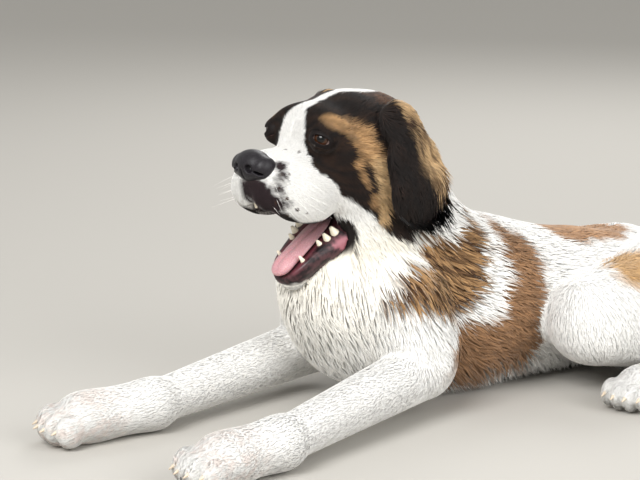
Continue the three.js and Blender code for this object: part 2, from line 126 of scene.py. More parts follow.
def blend(fields, k):
    def field(x, y, z):
        d = fields[0](x, y, z)
        for f in fields[1:]:
            d = smooth_min(d, f(x, y, z), k)
        return d

    return field


print("a ball of 10 mm reads", ball((0, 0, 0), (10, 10, 10))(20.0, 0.0, 0.0).round(1), "mm away at 20 mm")

# %% [markdown]
# A lying puppy is a broad trunk, a thick neck and four legs folded or stretched on the floor. Each is a
# few balls and limbs. The paws are a pad with four toes that fan out in front of it.

# %% Trunk, neck and tail
BACK_TOP = 172  # withers above the floor
CHEST_HALF = 94  # half the width of the rib cage
TAIL = [(46, 400, 96), (56, 446, 58), (78, 492, 34), (112, 528, 26), (152, 544, 24), (188, 538, 22)]
trunk = blend(
    [
        ball((0, -14, 90), (68, 68, 72), (-12, 0, 0)),
        ball((0, 96, BACK_TOP - 88), (CHEST_HALF, 142, 88)),
        ball((0, 48, 112), (70, 90, 62)),
        ball((14, 232, 72), (84, 120, 70)),
        ball((38, 342, 62), (82, 84, 60)),
        ball((44, 392, 66), (52, 40, 40)),
    ],
    34,
)
neck = blend(
    [
        limb((0, 2, 240), (0, 48, 146), 50, 62),
        limb((0, -28, 196), (0, -26, 130), 42, 58),
        ball((0, -56, 112), (50, 40, 42)),
    ],
    30,
)
tail = blend([limb(TAIL[i], TAIL[i + 1], 20 - i, 19 - i) for i in range(5)], 8)
print("trunk, neck and a tail of", len(TAIL), "bends")

# %% Legs and paws
LEG_R = 21  # foreleg at the middle of the forearm
PAW_HALF = 32  # half the width of a forepaw
SIDES = {"left": 1, "right": -1}
ELBOW = {"left": (80, -8, 44), "right": (-78, -8, 40)}
WRIST = {"left": (134, -222, 26), "right": (-40, -232, 26)}
FOREPAW = {"left": (133, -284, 22), "right": (-52, -300, 22)}
HIP = {"left": (88, 318, 78), "right": (0, 345, 76)}
STIFLE = {"left": (122, 178, 72), "right": (-92, 215, 72)}
HOCK = {"left": (172, 285, 30), "right": (-128, 322, 30)}
HINDPAW = {"left": (192, 172, 20), "right": (-132, 212, 20)}


def foot(paw, root, half, reach):
    ahead = np.subtract(paw[:2], root[:2])
    ahead = ahead / np.hypot(*ahead)
    yaw = np.degrees(np.arctan2(ahead[1], ahead[0]))
    back = (paw[0] - ahead[0] * 6, paw[1] - ahead[1] * 6, paw[2] + 1)
    pad = ball(back, (reach * 1.15, half * 0.86, paw[2] - 1), (0, 0, yaw))
    places = []
    for across in (-1, -1 / 3, 1 / 3, 1):
        out = reach * (1 - 0.22 * across**2)
        aside = across * half * 0.66
        x = paw[0] + ahead[0] * out - ahead[1] * aside
        y = paw[1] + ahead[1] * out + ahead[0] * aside
        places.append((x, y, paw[2] - 3))
    size = (reach * 0.56, half * 0.3, paw[2] - 6)
    toes = blend([ball((x, y, z - 1), size, (0, 0, yaw)) for x, y, z in places], 3)

    def field(x, y, z):
        return smooth_min(pad(x, y, z), toes(x, y, z), 7)

    return {"ahead": ahead, "reach": reach, "places": places, "field": field}


legs = {}
for side, s in SIDES.items():
    elbow, wrist, hock = ELBOW[side], WRIST[side], HOCK[side]
    middle = s * 20 + (HIP[side][0] + STIFLE[side][0]) / 2
    upper = limb(elbow, wrist, LEG_R + 7, LEG_R - 1)
    lower = limb(wrist, FOREPAW[side], LEG_R, LEG_R - 2)
    legs[side] = {
        "forepaw": foot(FOREPAW[side], wrist, PAW_HALF, 27),
        "hindpaw": foot(HINDPAW[side], hock, PAW_HALF - 3, 24),
        "forearm": blend([upper, lower], 12),
        "shoulder": limb((s * 62, -18, 112), (s * 76, -2, 56), 40, 34),
        "thigh": limb(HIP[side], STIFLE[side], 54, 44),
        "belly": ball((middle, 250, 68), (42, 90, 50), (0, 0, s * 8)),
        "shank": blend([limb(STIFLE[side], hock, 34, 20), limb(hock, HINDPAW[side], 20, 17)], 10),
    }


def foreleg(leg, x, y, z):
    return smooth_min(leg["forearm"](x, y, z), leg["forepaw"]["field"](x, y, z), 8)


def hindleg(leg, x, y, z):
    return smooth_min(leg["shank"](x, y, z), leg["hindpaw"]["field"](x, y, z), 8)


print("paws with", sum(len(leg["forepaw"]["places"]) * 2 for leg in legs.values()), "toes")

# %% [markdown]
# The head has a broad domed skull, a marked stop in front of the eyes, a short deep muzzle and heavy
# upper lips. The mouth is a hollow cut from it, and the lower jaw hangs open below.

# %% Head, jaw, tongue and ears
SKULL_TOP = 304
SKULL_HALF = 57
CHIN = (0, -97, 142)
NOSE = (0, -143, 243)
JAW_PITCH = np.radians(40)
skull_parts = [
    ball((0, -34, SKULL_TOP - 56), (SKULL_HALF, 64, 56)),
    ball((0, -76, 266), (39, 24, 28)),
    ball((0, -4, 258), (42, 34, 38)),
    ball((0, -106, 237), (29, 42, 20), (6, 0, 0)),
    ball((0, -128, 232), (25, 20, 21)),
]
for s in (1, -1):
    skull_parts += [
        ball((s * 36, -30, 222), (26, 40, 42)),
        ball((s * 30, -24, 180), (24, 34, 44), (-8, 0, 0)),
        ball((s * 27, -78, 279), (17, 14, 8), (0, s * 18, s * 12)),
        ball((s * 21, -114, 219), (14, 33, 27), (-6, s * -7, s * 14)),
        ball((s * 28, -94, 214), (14, 32, 26), (10, s * -4, s * 6)),
        ball((s * 12, -139, 219), (11, 10, 17), (0, 0, s * 20)),
    ]
skull = blend(skull_parts, 11)
hollow = blend(
    [
        ball((0, -104, 192), (23, 50, 17), (-5, 0, 0)),
        ball((0, -66, 176), (26, 34, 24), (-30, 0, 0)),
    ],
    10,
)
jaw_sides = [limb((s * 26, -42, 172), (s * 12, -94, 148), 15, 12) for s in (1, -1)]
jaw_form = blend([limb((0, -48, 168), CHIN, 31, 20), *jaw_sides], 8)
tongue = blend(
    [
        ball((0, -66, 172), (19, 26, 7), (30, 0, 0)),
        ball((0, -90, 158), (14, 22, 6.5), (32, 0, 0)),
        ball((0, -108, 146), (12, 13, 6), (40, 0, 0)),
    ],
    6,
)
ear = blend(
    [
        ball((55, -15, 277), (9, 24, 22), (0, -24, 0)),
        ball((66, -11, 243), (9, 31, 32), (0, -6, 10)),
        ball((71, -4, 211), (9, 38, 29), (-14, 0, 8)),
    ],
    10,
)


def jaw_height(y, z):
    return (z - CHIN[2]) * np.cos(JAW_PITCH) - (y - CHIN[1]) * np.sin(JAW_PITCH)


def jaw(x, y, z):
    along = (y - CHIN[1]) * np.cos(JAW_PITCH) + (z - CHIN[2]) * np.sin(JAW_PITCH)
    top = jaw_height(y, z) - 10 + 6 * np.exp(-((x / 15) ** 2)) + along * 0.02
    return smooth_max(jaw_form(x, y, z), top, 4)


def head(x, y, z):
    return smooth_max(skull(x, y, z), -hollow(x, y, z), 4)


def flesh(x, y, z):
    d = smooth_min(trunk(x, y, z), neck(x, y, z), 26)
    for leg in legs.values():
        d = smooth_min(d, leg["shoulder"](x, y, z), 24)
        d = smooth_min(d, leg["thigh"](x, y, z), 16)
        d = smooth_min(d, leg["belly"](x, y, z), 16)
        d = smooth_min(d, foreleg(leg, x, y, z), 12)
        d = smooth_min(d, hindleg(leg, x, y, z), 8)
    d = smooth_min(d, tail(x, y, z), 14)
    return smooth_min(d, head(x, y, z), 22)


print("the crown is", flesh(0.0, -34.0, float(SKULL_TOP)).round(1), "mm from the field's surface")

# %% [markdown]
# The coat isn't equally deep everywhere. On the muzzle it is a millimetre of short hair, on the legs a
# little more, and on the neck and the flanks nearly half a centimetre. The skin lies about that deep under
# the solids' outline.

# %% Depth of the coat
LID_RISE = 1.3  # the skin of the lids over the eyeball
DEPTH = {"muzzle": 0.9, "face": 1.7, "leg": 1.5, "body": 3.6, "ruff": 4.8}


def ramp(v, start, end):
    t = np.clip((v - start) / (end - start), 0, 1)
    return t * t * (3 - 2 * t)


def depth(x, y, z):
    d = mix(DEPTH["ruff"], DEPTH["body"], ramp(y, 20, 130))
    near_head = ramp(skull(x, y, z), 4, 40) + ramp(y, -20, 30) * ramp(z, 150, 200) * 0.5
    d = mix(mix(DEPTH["muzzle"], DEPTH["face"], ramp(y, -118, -84)), d, np.clip(near_head, 0, 1))
    for leg in legs.values():
        d = np.minimum(d, mix(DEPTH["leg"], d, ramp(foreleg(leg, x, y, z), 0, 45)))
        d = np.minimum(d, mix(DEPTH["leg"], d, ramp(hindleg(leg, x, y, z), 0, 45)))
    return d


def mouth(x, y, z):
    """The hollow, and the corners of the lips, which reach further back than the solid's."""
    corners = [ball((s * 34, -74, 168), (15, 15, 23), (-20, 0, 0))(x, y, z) for s in (1, -1)]
    return smooth_min(hollow(x, y, z), np.minimum(*corners), 4)


def eye_axes(x, y, z):
    """Distances from the eyeball's centre along its gaze, outward and up, the same for both eyes."""
    p = [np.abs(x) - EYE[0], y - EYE[1], z - EYE[2]]
    return [w[0] * p[0] + w[1] * p[1] + w[2] * p[2] for w in (GAZE, ASIDE, UPWARD)]


def opening(x, y, z):
    """The almond between the lids, negative inside; its outer corner is a little lower."""
    a, b, c = eye_axes(x, y, z)
    c = c + 0.3 * b + 0.6
    tall = np.where(c > 0, 3.5, 4.3)
    return (np.sqrt((b / 7.6) ** 2 + (c / tall) ** 2) - 1) * 4


def skin_outside(x, y, z):
    """The skin without the mouth: under the coat, with lids over the eyes and fuller wrists."""
    a, b, c = eye_axes(x, y, z)
    d = flesh(x, y, z) + depth(x, y, z)
    for side in legs:
        d = smooth_min(d, limb(WRIST[side], FOREPAW[side], 18, 19)(x, y, z), 14)
    return smooth_min(d, np.sqrt(a * a + b * b + c * c) - EYE_R - LID_RISE, 5)


def skin(x, y, z):
    under = np.maximum(skin_outside(x, y, z), -mouth(x, y, z))
    hole = np.maximum(opening(x, y, z) - 0.9, 2 - eye_axes(x, y, z)[0])
    return np.maximum(np.maximum(under, 0.6 - z), -hole)


print("depth on the flank:", depth(90.0, 100.0, 90.0).round(1), "mm")
print("depth on the muzzle:", depth(20.0, -140.0, 220.0).round(1), "mm")

# %% [markdown]
# A field becomes a mesh by surface nets: space is cut into small boxes, each box that the surface crosses
# gets one vertex at the mean of its crossings, and neighbouring vertices are joined by squares. The boxes
# are small round the head, where the forms are small, and larger over the body, so one skin has both.

# %% From a field to a mesh


def surface_nets(field, xs, ys, zs):
    axes = [np.asarray(v, np.float32) for v in (xs, ys, zs)]
    value = field(axes[0][:, None, None], axes[1][None, :, None], axes[2][None, None, :])
    value = np.array(np.broadcast_to(value, [len(v) for v in axes]), np.float32)
    for axis in range(3):
        ends = np.moveaxis(value, axis, 0)
        ends[0] = np.maximum(ends[0], 0.1)
        ends[-1] = np.maximum(ends[-1], 0.1)
    n = np.array(value.shape) - 1
    count = np.zeros(n, np.float32)
    at = np.zeros((3, *n), np.float32)
    for axis in range(3):
        for corner in range(4):
            offset = [0, 0, 0]
            offset[(axis + 1) % 3] = corner & 1
            offset[(axis + 2) % 3] = corner >> 1
            a = value[tuple(slice(o, o + m) for o, m in zip(offset, n))]
            offset[axis] = 1
            b = value[tuple(slice(o, o + m) for o, m in zip(offset, n))]
            cross = (a < 0) != (b < 0)
            offset[axis] = np.where(cross, a / np.where(cross, a - b, 1), 0)
            count += cross
            for c in range(3):
                at[c] += cross * offset[c]
    used = count > 0
    index = np.full(n, -1)
    index[used] = np.arange(used.sum())
    cells = np.argwhere(used)
    shares = (at[:, used] / count[used]).T
    starts = np.stack([axes[c][cells[:, c]] for c in range(3)], 1)
    widths = np.stack([np.diff(axes[c])[cells[:, c]] for c in range(3)], 1)
    points = starts + shares * widths
    faces = []
    inside = value < 0
    for axis in range(3):
        here = np.moveaxis(inside, axis, 0)
        turned = np.moveaxis(index, axis, 0)
        i, u, w = np.nonzero(here[:-1, 1:-1, 1:-1] != here[1:, 1:-1, 1:-1])
        u, w = u + 1, w + 1
        ring = [turned[i, u - 1, w - 1], turned[i, u, w - 1], turned[i, u, w], turned[i, u - 1, w]]
        quads = np.stack(ring, 1)
        outward = here[i, u, w] ^ (axis == 1)
        faces.append(np.where(outward[:, None], quads, quads[:, ::-1]))
    return points, np.concatenate(faces)


def steps(*knots):
    """Grid lines from knots of (place, spacing from there on)."""
    lines = [np.arange(a, b, step) for (a, step), (b, _) in zip(knots, knots[1:])]
    return np.concatenate(lines)


# %% [markdown]
# One helper turns arrays into a Blender mesh with its place in its vertices, and a colour for each
# vertex. Colours are picked as sRGB hex values, as a painter's chart gives them, and one function makes
# them linear.

# %% Meshes, colours and nodes


def linear(text):
    srgb = np.array([int(text[i : i + 2], 16) / 255 for i in (1, 3, 5)])
    return np.where(srgb <= 0.04045, srgb / 12.92, ((srgb + 0.055) / 1.055) ** 2.4)


def rgba(text):
    return (*linear(text), 1.0)


def mesh_piece(name, points, faces, material, colours=None, smooth=True):
    mesh = bpy.data.meshes.new(name)
    faces = np.asarray(faces)
    mesh.vertices.add(len(points))
    mesh.vertices.foreach_set("co", to_metres(points).astype(np.float32).ravel())
    mesh.loops.add(faces.size)
    mesh.loops.foreach_set("vertex_index", faces.astype(np.int32).ravel())
    mesh.polygons.add(len(faces))
    mesh.polygons.foreach_set("loop_start", np.arange(0, faces.size, faces.shape[1], dtype=np.int32))
    mesh.polygons.foreach_set("use_smooth", np.full(len(faces), smooth))
    mesh.update(calc_edges=True)
    if colours is not None:
        layer = mesh.color_attributes.new("coat", "FLOAT_COLOR", "POINT")
        four = np.concatenate([colours, np.ones((len(colours), 1))], 1)
        layer.data.foreach_set("color", four.astype(np.float32).ravel())
    mesh.materials.append(material)
    piece = bpy.data.objects.new(name, mesh)
    bpy.context.collection.objects.link(piece)
    return piece


def add_node(tree, kind, settings=None, **inputs):
    node = tree.nodes.new(kind)
    for key, value in (settings or {}).items():
        setattr(node, key, value)
    for key, value in inputs.items():
        numbered = key[0] == "_" and key[1:].isdigit()
        socket = node.inputs[int(key[1:]) if numbered else key.replace("_", " ")]
        if isinstance(value, bpy.types.NodeSocket):
            tree.links.new(value, socket)
        else:
            socket.default_value = value
    return node


def new_material(name, **constants):
    material = bpy.data.materials.new(name)
    material.use_nodes = True
    shader = material.node_tree.nodes["Principled BSDF"]
    for key, value in constants.items():
        shader.inputs[key.replace("_", " ")].default_value = value
    return material, material.node_tree, shader


print("white fur in linear light:", linear("#FBF9F4").round(3))

# %% [markdown]
# Fur: a coat of dry hairs scatters light widely, so it is rough, with a soft sheen where hairs stand
# against the light. Its colour comes from the markings, which each tuft takes at its root. A fine streak
# runs through each one.

# %% Fur and skin under fur


def fur_material(name, sheen, bump_mm):
    material, tree, shader = new_material(name, Roughness=0.72, Sheen_Weight=sheen, Sheen_Roughness=0.5)
    shader.inputs["Specular IOR Level"].default_value = 0.15
    shader.inputs["Subsurface Weight"].default_value = 0.3
    shader.inputs["Subsurface Radius"].default_value = (1.0, 0.9, 0.8)
    shader.inputs["Subsurface Scale"].default_value = 0.004
    colour = add_node(tree, "ShaderNodeAttribute", {"attribute_name": "coat"})
    place = add_node(tree, "ShaderNodeTexCoord")
    streak = add_node(tree, "ShaderNodeTexNoise", Vector=place.outputs["Object"], Scale=900.0, Detail=2.0)
    shade = add_node(tree, "ShaderNodeMapRange", Value=streak.outputs["Fac"], From_Min=0.3, From_Max=0.7)
    shade.inputs["To Min"].default_value = 0.93
    shade.inputs["To Max"].default_value = 1.04
    mixed = add_node(tree, "ShaderNodeVectorMath", {"operation": "SCALE"}, _0=colour.outputs["Color"])
    tree.links.new(shade.outputs["Result"], mixed.inputs["Scale"])
    tree.links.new(mixed.outputs["Vector"], shader.inputs["Base Color"])
    height = streak.outputs["Fac"]
    bump = add_node(tree, "ShaderNodeBump", Height=height, Strength=0.5, Distance=bump_mm / 1000)
    tree.links.new(bump.outputs["Normal"], shader.inputs["Normal"])
    return material


fur = fur_material("saint_bernard_guard_hair", 0.08, 0.15)
under_fur = fur_material("skin_with_short_undercoat", 0.08, 0.25)
print("fur materials made")

# %% [markdown]
# Wet and bare parts. The nose is cornified skin, pebbled by grooves about a millimetre apart. The lids
# and lips are black skin, the tongue is wet and finely bumped by papillae, and the teeth are smooth
# enamel, a little cream.

# %% Bare skin, tongue, enamel, claw and eye


def bumpy_material(name, dark, light, scale, bump_mm, kind="ShaderNodeTexVoronoi", **constants):
    material, tree, shader = new_material(name, **constants)
    place = add_node(tree, "ShaderNodeTexCoord")
    grain = add_node(tree, kind, Vector=place.outputs["Object"], Scale=scale)
    height = grain.outputs["Distance" if kind == "ShaderNodeTexVoronoi" else "Fac"]
    ramp_node = add_node(tree, "ShaderNodeValToRGB", Fac=height)
    ramp_node.color_ramp.elements[0].color = rgba(dark)
    ramp_node.color_ramp.elements[1].color = rgba(light)
    tree.links.new(ramp_node.outputs["Color"], shader.inputs["Base Color"])
    bump = add_node(tree, "ShaderNodeBump", Height=height, Strength=0.6, Distance=bump_mm / 1000)
    tree.links.new(bump.outputs["Normal"], shader.inputs["Normal"])
    return material


NOISE = "ShaderNodeTexNoise"
nose_leather = bumpy_material(
    "damp_pebbled_nose", "#0B0A0C", "#262227", 900.0, 0.35, Roughness=0.36, Specular_IOR_Level=0.3
)
wet_tongue = bumpy_material("wet_tongue", "#AB757D", "#CC9FA2", 1100.0, 0.25, Roughness=0.32, IOR=1.36)
wet_tongue.node_tree.nodes["Principled BSDF"].inputs["Subsurface Weight"].default_value = 0.15
enamel = bumpy_material("tooth_enamel", "#E8DCC0", "#F6F0DE", 200.0, 0.05, NOISE, Roughness=0.22, IOR=1.62)
claw_horn = bumpy_material("claw_horn", "#B9A58C", "#E2D5C0", 300.0, 0.1, NOISE, Roughness=0.4)
whisker_hair = bumpy_material("whisker_hair", "#E9E4DA", "#FFFFFF", 400.0, 0.02, NOISE, Roughness=0.5)


def coloured_material(name, **constants):
    material, tree, shader = new_material(name, **constants)
    colour = add_node(tree, "ShaderNodeAttribute", {"attribute_name": "coat"})
    tree.links.new(colour.outputs["Color"], shader.inputs["Base Color"])
    place = add_node(tree, "ShaderNodeTexCoord")
    grain = add_node(tree, "ShaderNodeTexNoise", Vector=place.outputs["Object"], Scale=1500.0, Detail=3.0)
    bump = add_node(tree, "ShaderNodeBump", Height=grain.outputs["Fac"], Strength=0.25, Distance=0.0001)
    tree.links.new(bump.outputs["Normal"], shader.inputs["Normal"])
    return material


wet_eye = coloured_material(
    "wet_cornea_over_iris", Roughness=0.05, IOR=1.38, Specular_IOR_Level=0.3, Coat_Weight=0.4
)
eyelid_skin = coloured_material("thin_black_eyelid_skin", Roughness=0.6, Specular_IOR_Level=0.15)
wet_skin = coloured_material("damp_skin_of_the_mouth", Roughness=0.33, IOR=1.4)
print("bare finishes made")

# %% [markdown]
# The photograph's view. The edges of the shoulder patch, the saddle and the mask, and the freckles, were
# picked in it as pixels of its 640 by 480 frame. A pixel is a line of sight from the camera, and the
# place is where it meets the flesh.

# %% From a pixel to a place on the animal
AZIMUTH = np.radians(50)  # from the -Y side round to the left
PITCH = np.radians(11.31)  # down
CAMERA_PLACE = (1621, -1424, 587)
LENS = 129.4  # millimetres
SENSOR = 36  # width in millimetres
PHOTO_SIZE = (640, 480)
FOCAL = LENS / SENSOR * PHOTO_SIZE[0]
FIRST_REACH = 1200.0  # where the search starts, in front of the animal
SEARCH_STEPS = 120
VIEW_WAY = np.array([-np.sin(AZIMUTH) * np.cos(PITCH), np.cos(AZIMUTH) * np.cos(PITCH), -np.sin(PITCH)])
VIEW_RIGHT = np.cross(VIEW_WAY, [0, 0, 1]) / np.linalg.norm(np.cross(VIEW_WAY, [0, 0, 1]))
VIEW_TOP = np.cross(VIEW_RIGHT, VIEW_WAY)


def on_photo(pixels):
    """Places, to the millimetre, that these pixels of the photograph show."""
    aside, down = (np.array(pixels, float) - np.array(PHOTO_SIZE) / 2).T[:, :, None] / FOCAL
    sight = VIEW_WAY + aside * VIEW_RIGHT - down * VIEW_TOP
    sight = sight / np.linalg.norm(sight, axis=1, keepdims=True)
    far = np.full((len(pixels), 1), FIRST_REACH)
    for _ in range(SEARCH_STEPS):
        x, y, z = (CAMERA_PLACE + sight * far).T
        nearest = np.minimum(flesh(x, y, z), np.minimum(ear(x, y, z), jaw(x, y, z)))
        far += np.clip(nearest, -5, 20)[:, None] * 0.7
    return [tuple(place) for place in (CAMERA_PLACE + sight * far).round().tolist()]


def side_view(pixels):
    return [(y, z) for _, y, z in on_photo(pixels)]


print("the pixel of the left eye shows", on_photo([(322, 140)]))

# %% [markdown]
# The markings. A saint bernard is white with red or brindle patches: here a dark mask with tan round each
# eye and down each cheek, a white blaze, black and gold ears, a sable patch on each shoulder, a broad
# saddle and spots on the back and hips. Each patch is a field or an outline in side view, and noise frays
# its edge as hair does. Points in millimetres are listed too: they finish an outline where the photograph
# hides it, or fit it better. The right side, which hardly shows, is given patches like those of the left,
# moved a little.

# %% Markings
HEX = {
    "white": "#FBF9F4",
    "cream": "#F7F0E0",
    "black": "#17110F",
    "dark": "#3C2617",
    "red": "#97704F",
    "tan": "#AD855A",
    "gold": "#CBA678",
    "pale_tan": "#C79B68",
    "stain": "#D9A67A",
    "pink": "#F0DDD2",
}
COLOUR = {name: linear(text) for name, text in HEX.items()}
SHOULDER_FRONT = [(451.3, 231.4), (424.8, 229.7), (419.8, 251.3), (404.9, 272.9), (391.6, 299.4)]
SHOULDER_FOOT = [(429.7, 306), (456.3, 312.6), (472.9, 296), (482.8, 279.5), (481, 259.6), (472.9, 226.4)]
SHOULDER_TOP = (72, 190)
SHOULDER = [*side_view(SHOULDER_FRONT + SHOULDER_FOOT), SHOULDER_TOP]
SADDLE_REAR = [(539.2, 261.2), (539, 281), (542.5, 292.7), (540.8, 316), (552.4, 335.9)]
SADDLE_FRONT = [(453, 342.5), (457.9, 317.6), (494.4, 314.3), (502.7, 286), (506, 269.5), (496, 246.3)]
SADDLE_FOOT = [(146, 21), (92, 30), *side_view([(471, 379)]), (20, 20), (-8, 43)]
SADDLE_TOP = [(110, 175), (142, 148)]
SADDLE = side_view(SADDLE_REAR) + SADDLE_FOOT + side_view(SADDLE_FRONT) + SADDLE_TOP
BACK_SPOT = [(36, 199), (52, 234), (44, 290), (14, 335), (-17, 322), (-22, 250), (5, 200)]
rng = np.random.default_rng(SEED)
wave_ways = rng.normal(size=(10, 3))
wave_ways = (wave_ways.T / np.linalg.norm(wave_ways, axis=1)).T * np.geomspace(0.05, 0.45, 10)[:, None]
wave_starts = rng.uniform(0, 6.28, 10)
FRECKLES = [
    (284.3, 149.3), (297.3, 151.9), (287.4, 174.1), (280.5, 174.1), (281.2, 180.2), (281.2, 190.9),
    (277.9, 187.9), (285.1, 198.6), (295.8, 209.3), (306.0, 212.4), (289.6, 217.7), (299.6, 223.1),
    (285.8, 215.4), (308.0, 145.0), (305.7, 155.7), (273.6, 201.6), (278.2, 197.0), (283.5, 192.5),
]
freckle_sizes = rng.uniform(0.9, 2.1, len(FRECKLES) * 2)
freckles = [(s * a, b + (s < 0) * 4, c - (s < 0) * 3) for s in (1, -1) for a, b, c in on_photo(FRECKLES)]


def ripple(x, y, z, stretch=1.0):
    """Smooth noise of about -1 to 1, with waves from 14 to 126 mm long."""
    total = 0
    for (a, b, c), start in zip(wave_ways * stretch, wave_starts):
        total = total + np.sin(a * x + b * y + c * z + start)
    return total / 3.2


def outline(points, u, v):
    """Distance to a closed outline in two dimensions, negative inside."""
    near = np.full(np.broadcast(u, v).shape, 1e9)
    inside = np.zeros(near.shape, bool)
    for (a, b), (c, d) in zip(points, points[1:] + points[:1]):
        ex, ey = c - a, d - b
        t = np.clip(((u - a) * ex + (v - b) * ey) / (ex * ex + ey * ey), 0, 1)
        near = np.minimum(near, np.hypot(u - a - ex * t, v - b - ey * t))
        if d != b:
            inside ^= ((b > v) != (d > v)) & (u < (c - a) * (v - b) / (d - b) + a)
    return np.where(inside, -near, near)


def side_of(x):
    return np.where(x < 0, -1, 1)


def paint(colour, new, distance, edge):
    share = np.clip(0.5 - distance / edge, 0, 1)[:, None]
    return colour * (1 - share) + new * share


def strands(x, y, z):
    """How light a lock of hair is, from 0 to 1: it varies quickly across the lie and slowly along it."""
    across = np.sin(0.55 * z + 0.12 * y + 3 * ripple(x, y, z))
    return np.clip(0.5 + 0.45 * across + 0.2 * ripple(y, z, x, 2), 0, 1)


def body_colours(x, y, z):
    s = np.sign(x)
    fray = 4 * ripple(x, y, z, 1.5)
    colour = np.tile(COLOUR["white"], (len(x), 1))
    throat = np.maximum(ball((0, -40, 150), (70, 70, 80))(x, y, z), -40)
    colour = paint(colour, COLOUR["cream"], throat, 60)
    light = strands(x, y, z)[:, None]
    sable = COLOUR["dark"] * (1 - light) + COLOUR["tan"] * light
    saddle = COLOUR["red"] * (0.62 + 0.5 * light)
    hind = np.minimum(*[np.minimum(leg["thigh"](x, y, z), hindleg(leg, x, y, z)) for leg in legs.values()])
    fore = np.minimum(*[foreleg(leg, x, y, z) for leg in legs.values()])
    back = np.where(s > 0, 0, 9)
    shoulder = np.maximum(outline(SHOULDER, y - back, z) + fray, 24 - np.abs(x) - (z > 160) * 30)
    colour = paint(colour, sable, np.maximum(shoulder, 4 - fore), 9)
    broad = np.maximum(outline(SADDLE, y - back * 2, z) + fray, 8 - hind)
    broad = np.maximum(broad, 26 - np.abs(x) - (z > 140) * 20)
    colour = paint(colour, saddle, np.maximum(broad, 4 - fore), 9)
    spot = np.maximum(outline(BACK_SPOT, x, y) + fray, 105 - z)
    colour = paint(colour, COLOUR["red"] * (1.1 + 0.45 * light), spot, 10)
    hip = ball((s * 126, 246, 112), (38, 50, 20))(x, y, z)
    colour = paint(colour, COLOUR["pale_tan"] * (0.85 + 0.25 * light), hip + fray, 12)
    root = np.maximum(tail(x, y, z) - 12, y - 486) + fray
    colour = paint(colour, saddle, np.maximum(root, 412 - y), 12)
    paws = np.minimum(*[leg["forepaw"]["field"](x, y, z) for leg in legs.values()])
    flush = np.maximum(9 - 12 * ripple(x, y, z, 4), paws - 2)
    return paint(colour, COLOUR["pink"], flush, 26)


MASK_FOOT = [(327, 175.6), (341, 191), (353, 198.6), (371.5, 212.4), (388.4, 230.7)]
MASK_LINE = [(-104, 246), (-96, 236), *side_view(MASK_FOOT), (-10, 168)]
BLAZE = [
    (-112, 30), (-101, 24), (-96, 15), (-90, 11), (-72, 5),
    (-50, 5), (-39, 11), (-26, 14), (-8, 9), (12, -4),
]  # half its width along y


def head_colours(x, y, z):
    fray = 1.6 * ripple(x, y, z, 2.5)
    ax = np.abs(x)
    colour = np.tile(COLOUR["white"], (len(x), 1))
    colour = paint(colour, COLOUR["cream"], z - 185 + np.abs(y + 30) * 0.2, 30)
    line = np.interp(y, *np.array(MASK_LINE).T)
    blaze = np.interp(y, *np.array(BLAZE).T)
    ends = np.maximum(-103 - y + (z < 250) * 3, y - 34 - 6 * (z > 230))
    mask = np.maximum(np.maximum(line - z, blaze - ax), ends)
    light = strands(x, y, z)[:, None]
    dark = COLOUR["black"] * 0.75 + COLOUR["dark"] * 0.25 * light
    colour = paint(colour, dark, mask + fray, 3.5)
    brown = np.maximum(ball((0, 4, 296), (44, 34, 26))(x, y, z), mask + 3)
    colour = paint(colour, COLOUR["dark"] * (0.6 + 1.2 * light), brown + fray, 14)
    tans = [
        (limb((37, -84, 284), (52, -58, 270), 6, 10), "tan", 9),
        (limb((52, -55, 265), (59, -44, 240), 10, 8), "tan", 8),
        (limb((59, -44, 240), (61, -38, 213), 8, 8.5), "gold", 6),
        (limb((61, -38, 213), (57, -36, 190), 8.5, 5), "gold", 6),
        (limb((53, -63, 243), (58, -56, 222), 3, 4), "tan", 5),
        (limb((58, -52, 214), (57, -45, 200), 3, 3), "tan", 5),
    ]
    for field, name, edge in tans:
        patch = np.maximum(field(ax, y, z) + fray, mask)
        colour = paint(colour, COLOUR[name] * (0.7 + 0.45 * light), patch, edge)
    streak = limb((55, -58, 246), (60, -47, 216), 2, 2.2)(ax, y, z)
    colour = paint(colour, COLOUR["black"], streak, 3)
    smudge = limb((6, -150, 224), (25, -143, 210), 16, 14)(x, y, z)
    smudge = np.minimum(smudge, limb((25, -133, 245), (31, -140, 224), 5, 5)(x, y, z))
    smudge = np.minimum(smudge, limb((24, -144, 206), (32, -129, 197), 8, 3)(x, y, z))
    smudge = np.maximum(smudge + 1.6 * ripple(x, y, z, 6) + fray, -8 - x)
    colour = paint(colour, linear("#2A1F21"), smudge, 7)
    nearest = np.full(len(x), 1e9)
    for (a, b, c), r in zip(freckles, freckle_sizes):
        nearest = np.minimum(nearest, np.sqrt((x - a) ** 2 + (y - b) ** 2 + (z - c) ** 2) - r)
    colour = paint(colour, COLOUR["dark"], nearest, 1.2)
    stain = ball((side_of(x) * 40, -66, 140), (14, 14, 14))(x, y, z)
    colour = paint(colour, COLOUR["stain"], stain, 16)
    band = mix(2.4, 4.0, ramp(y, -100, -74))
    rim = np.interp(y, [-145, -127, -114, -90, -72], [206, 199, 192, 192, 190])
    flews = np.maximum(np.maximum(mouth(x, y, z) - 14, z - rim), y + 82)
    lip = np.minimum(mouth(x, y, z) - band, flews)
    return paint(colour, COLOUR["black"], np.maximum(lip, y + 46), 2)


def coat_colours(points):
    x, y, z = np.asarray(points, float).T
    on_head = ramp(skull(x, y, z) - 2 + np.clip(y - 26, 0, 40) - np.clip(z - 236, 0, 30), 3, 11)[:, None]
    return head_colours(x, y, z) * (1 - on_head) + body_colours(x, y, z) * on_head


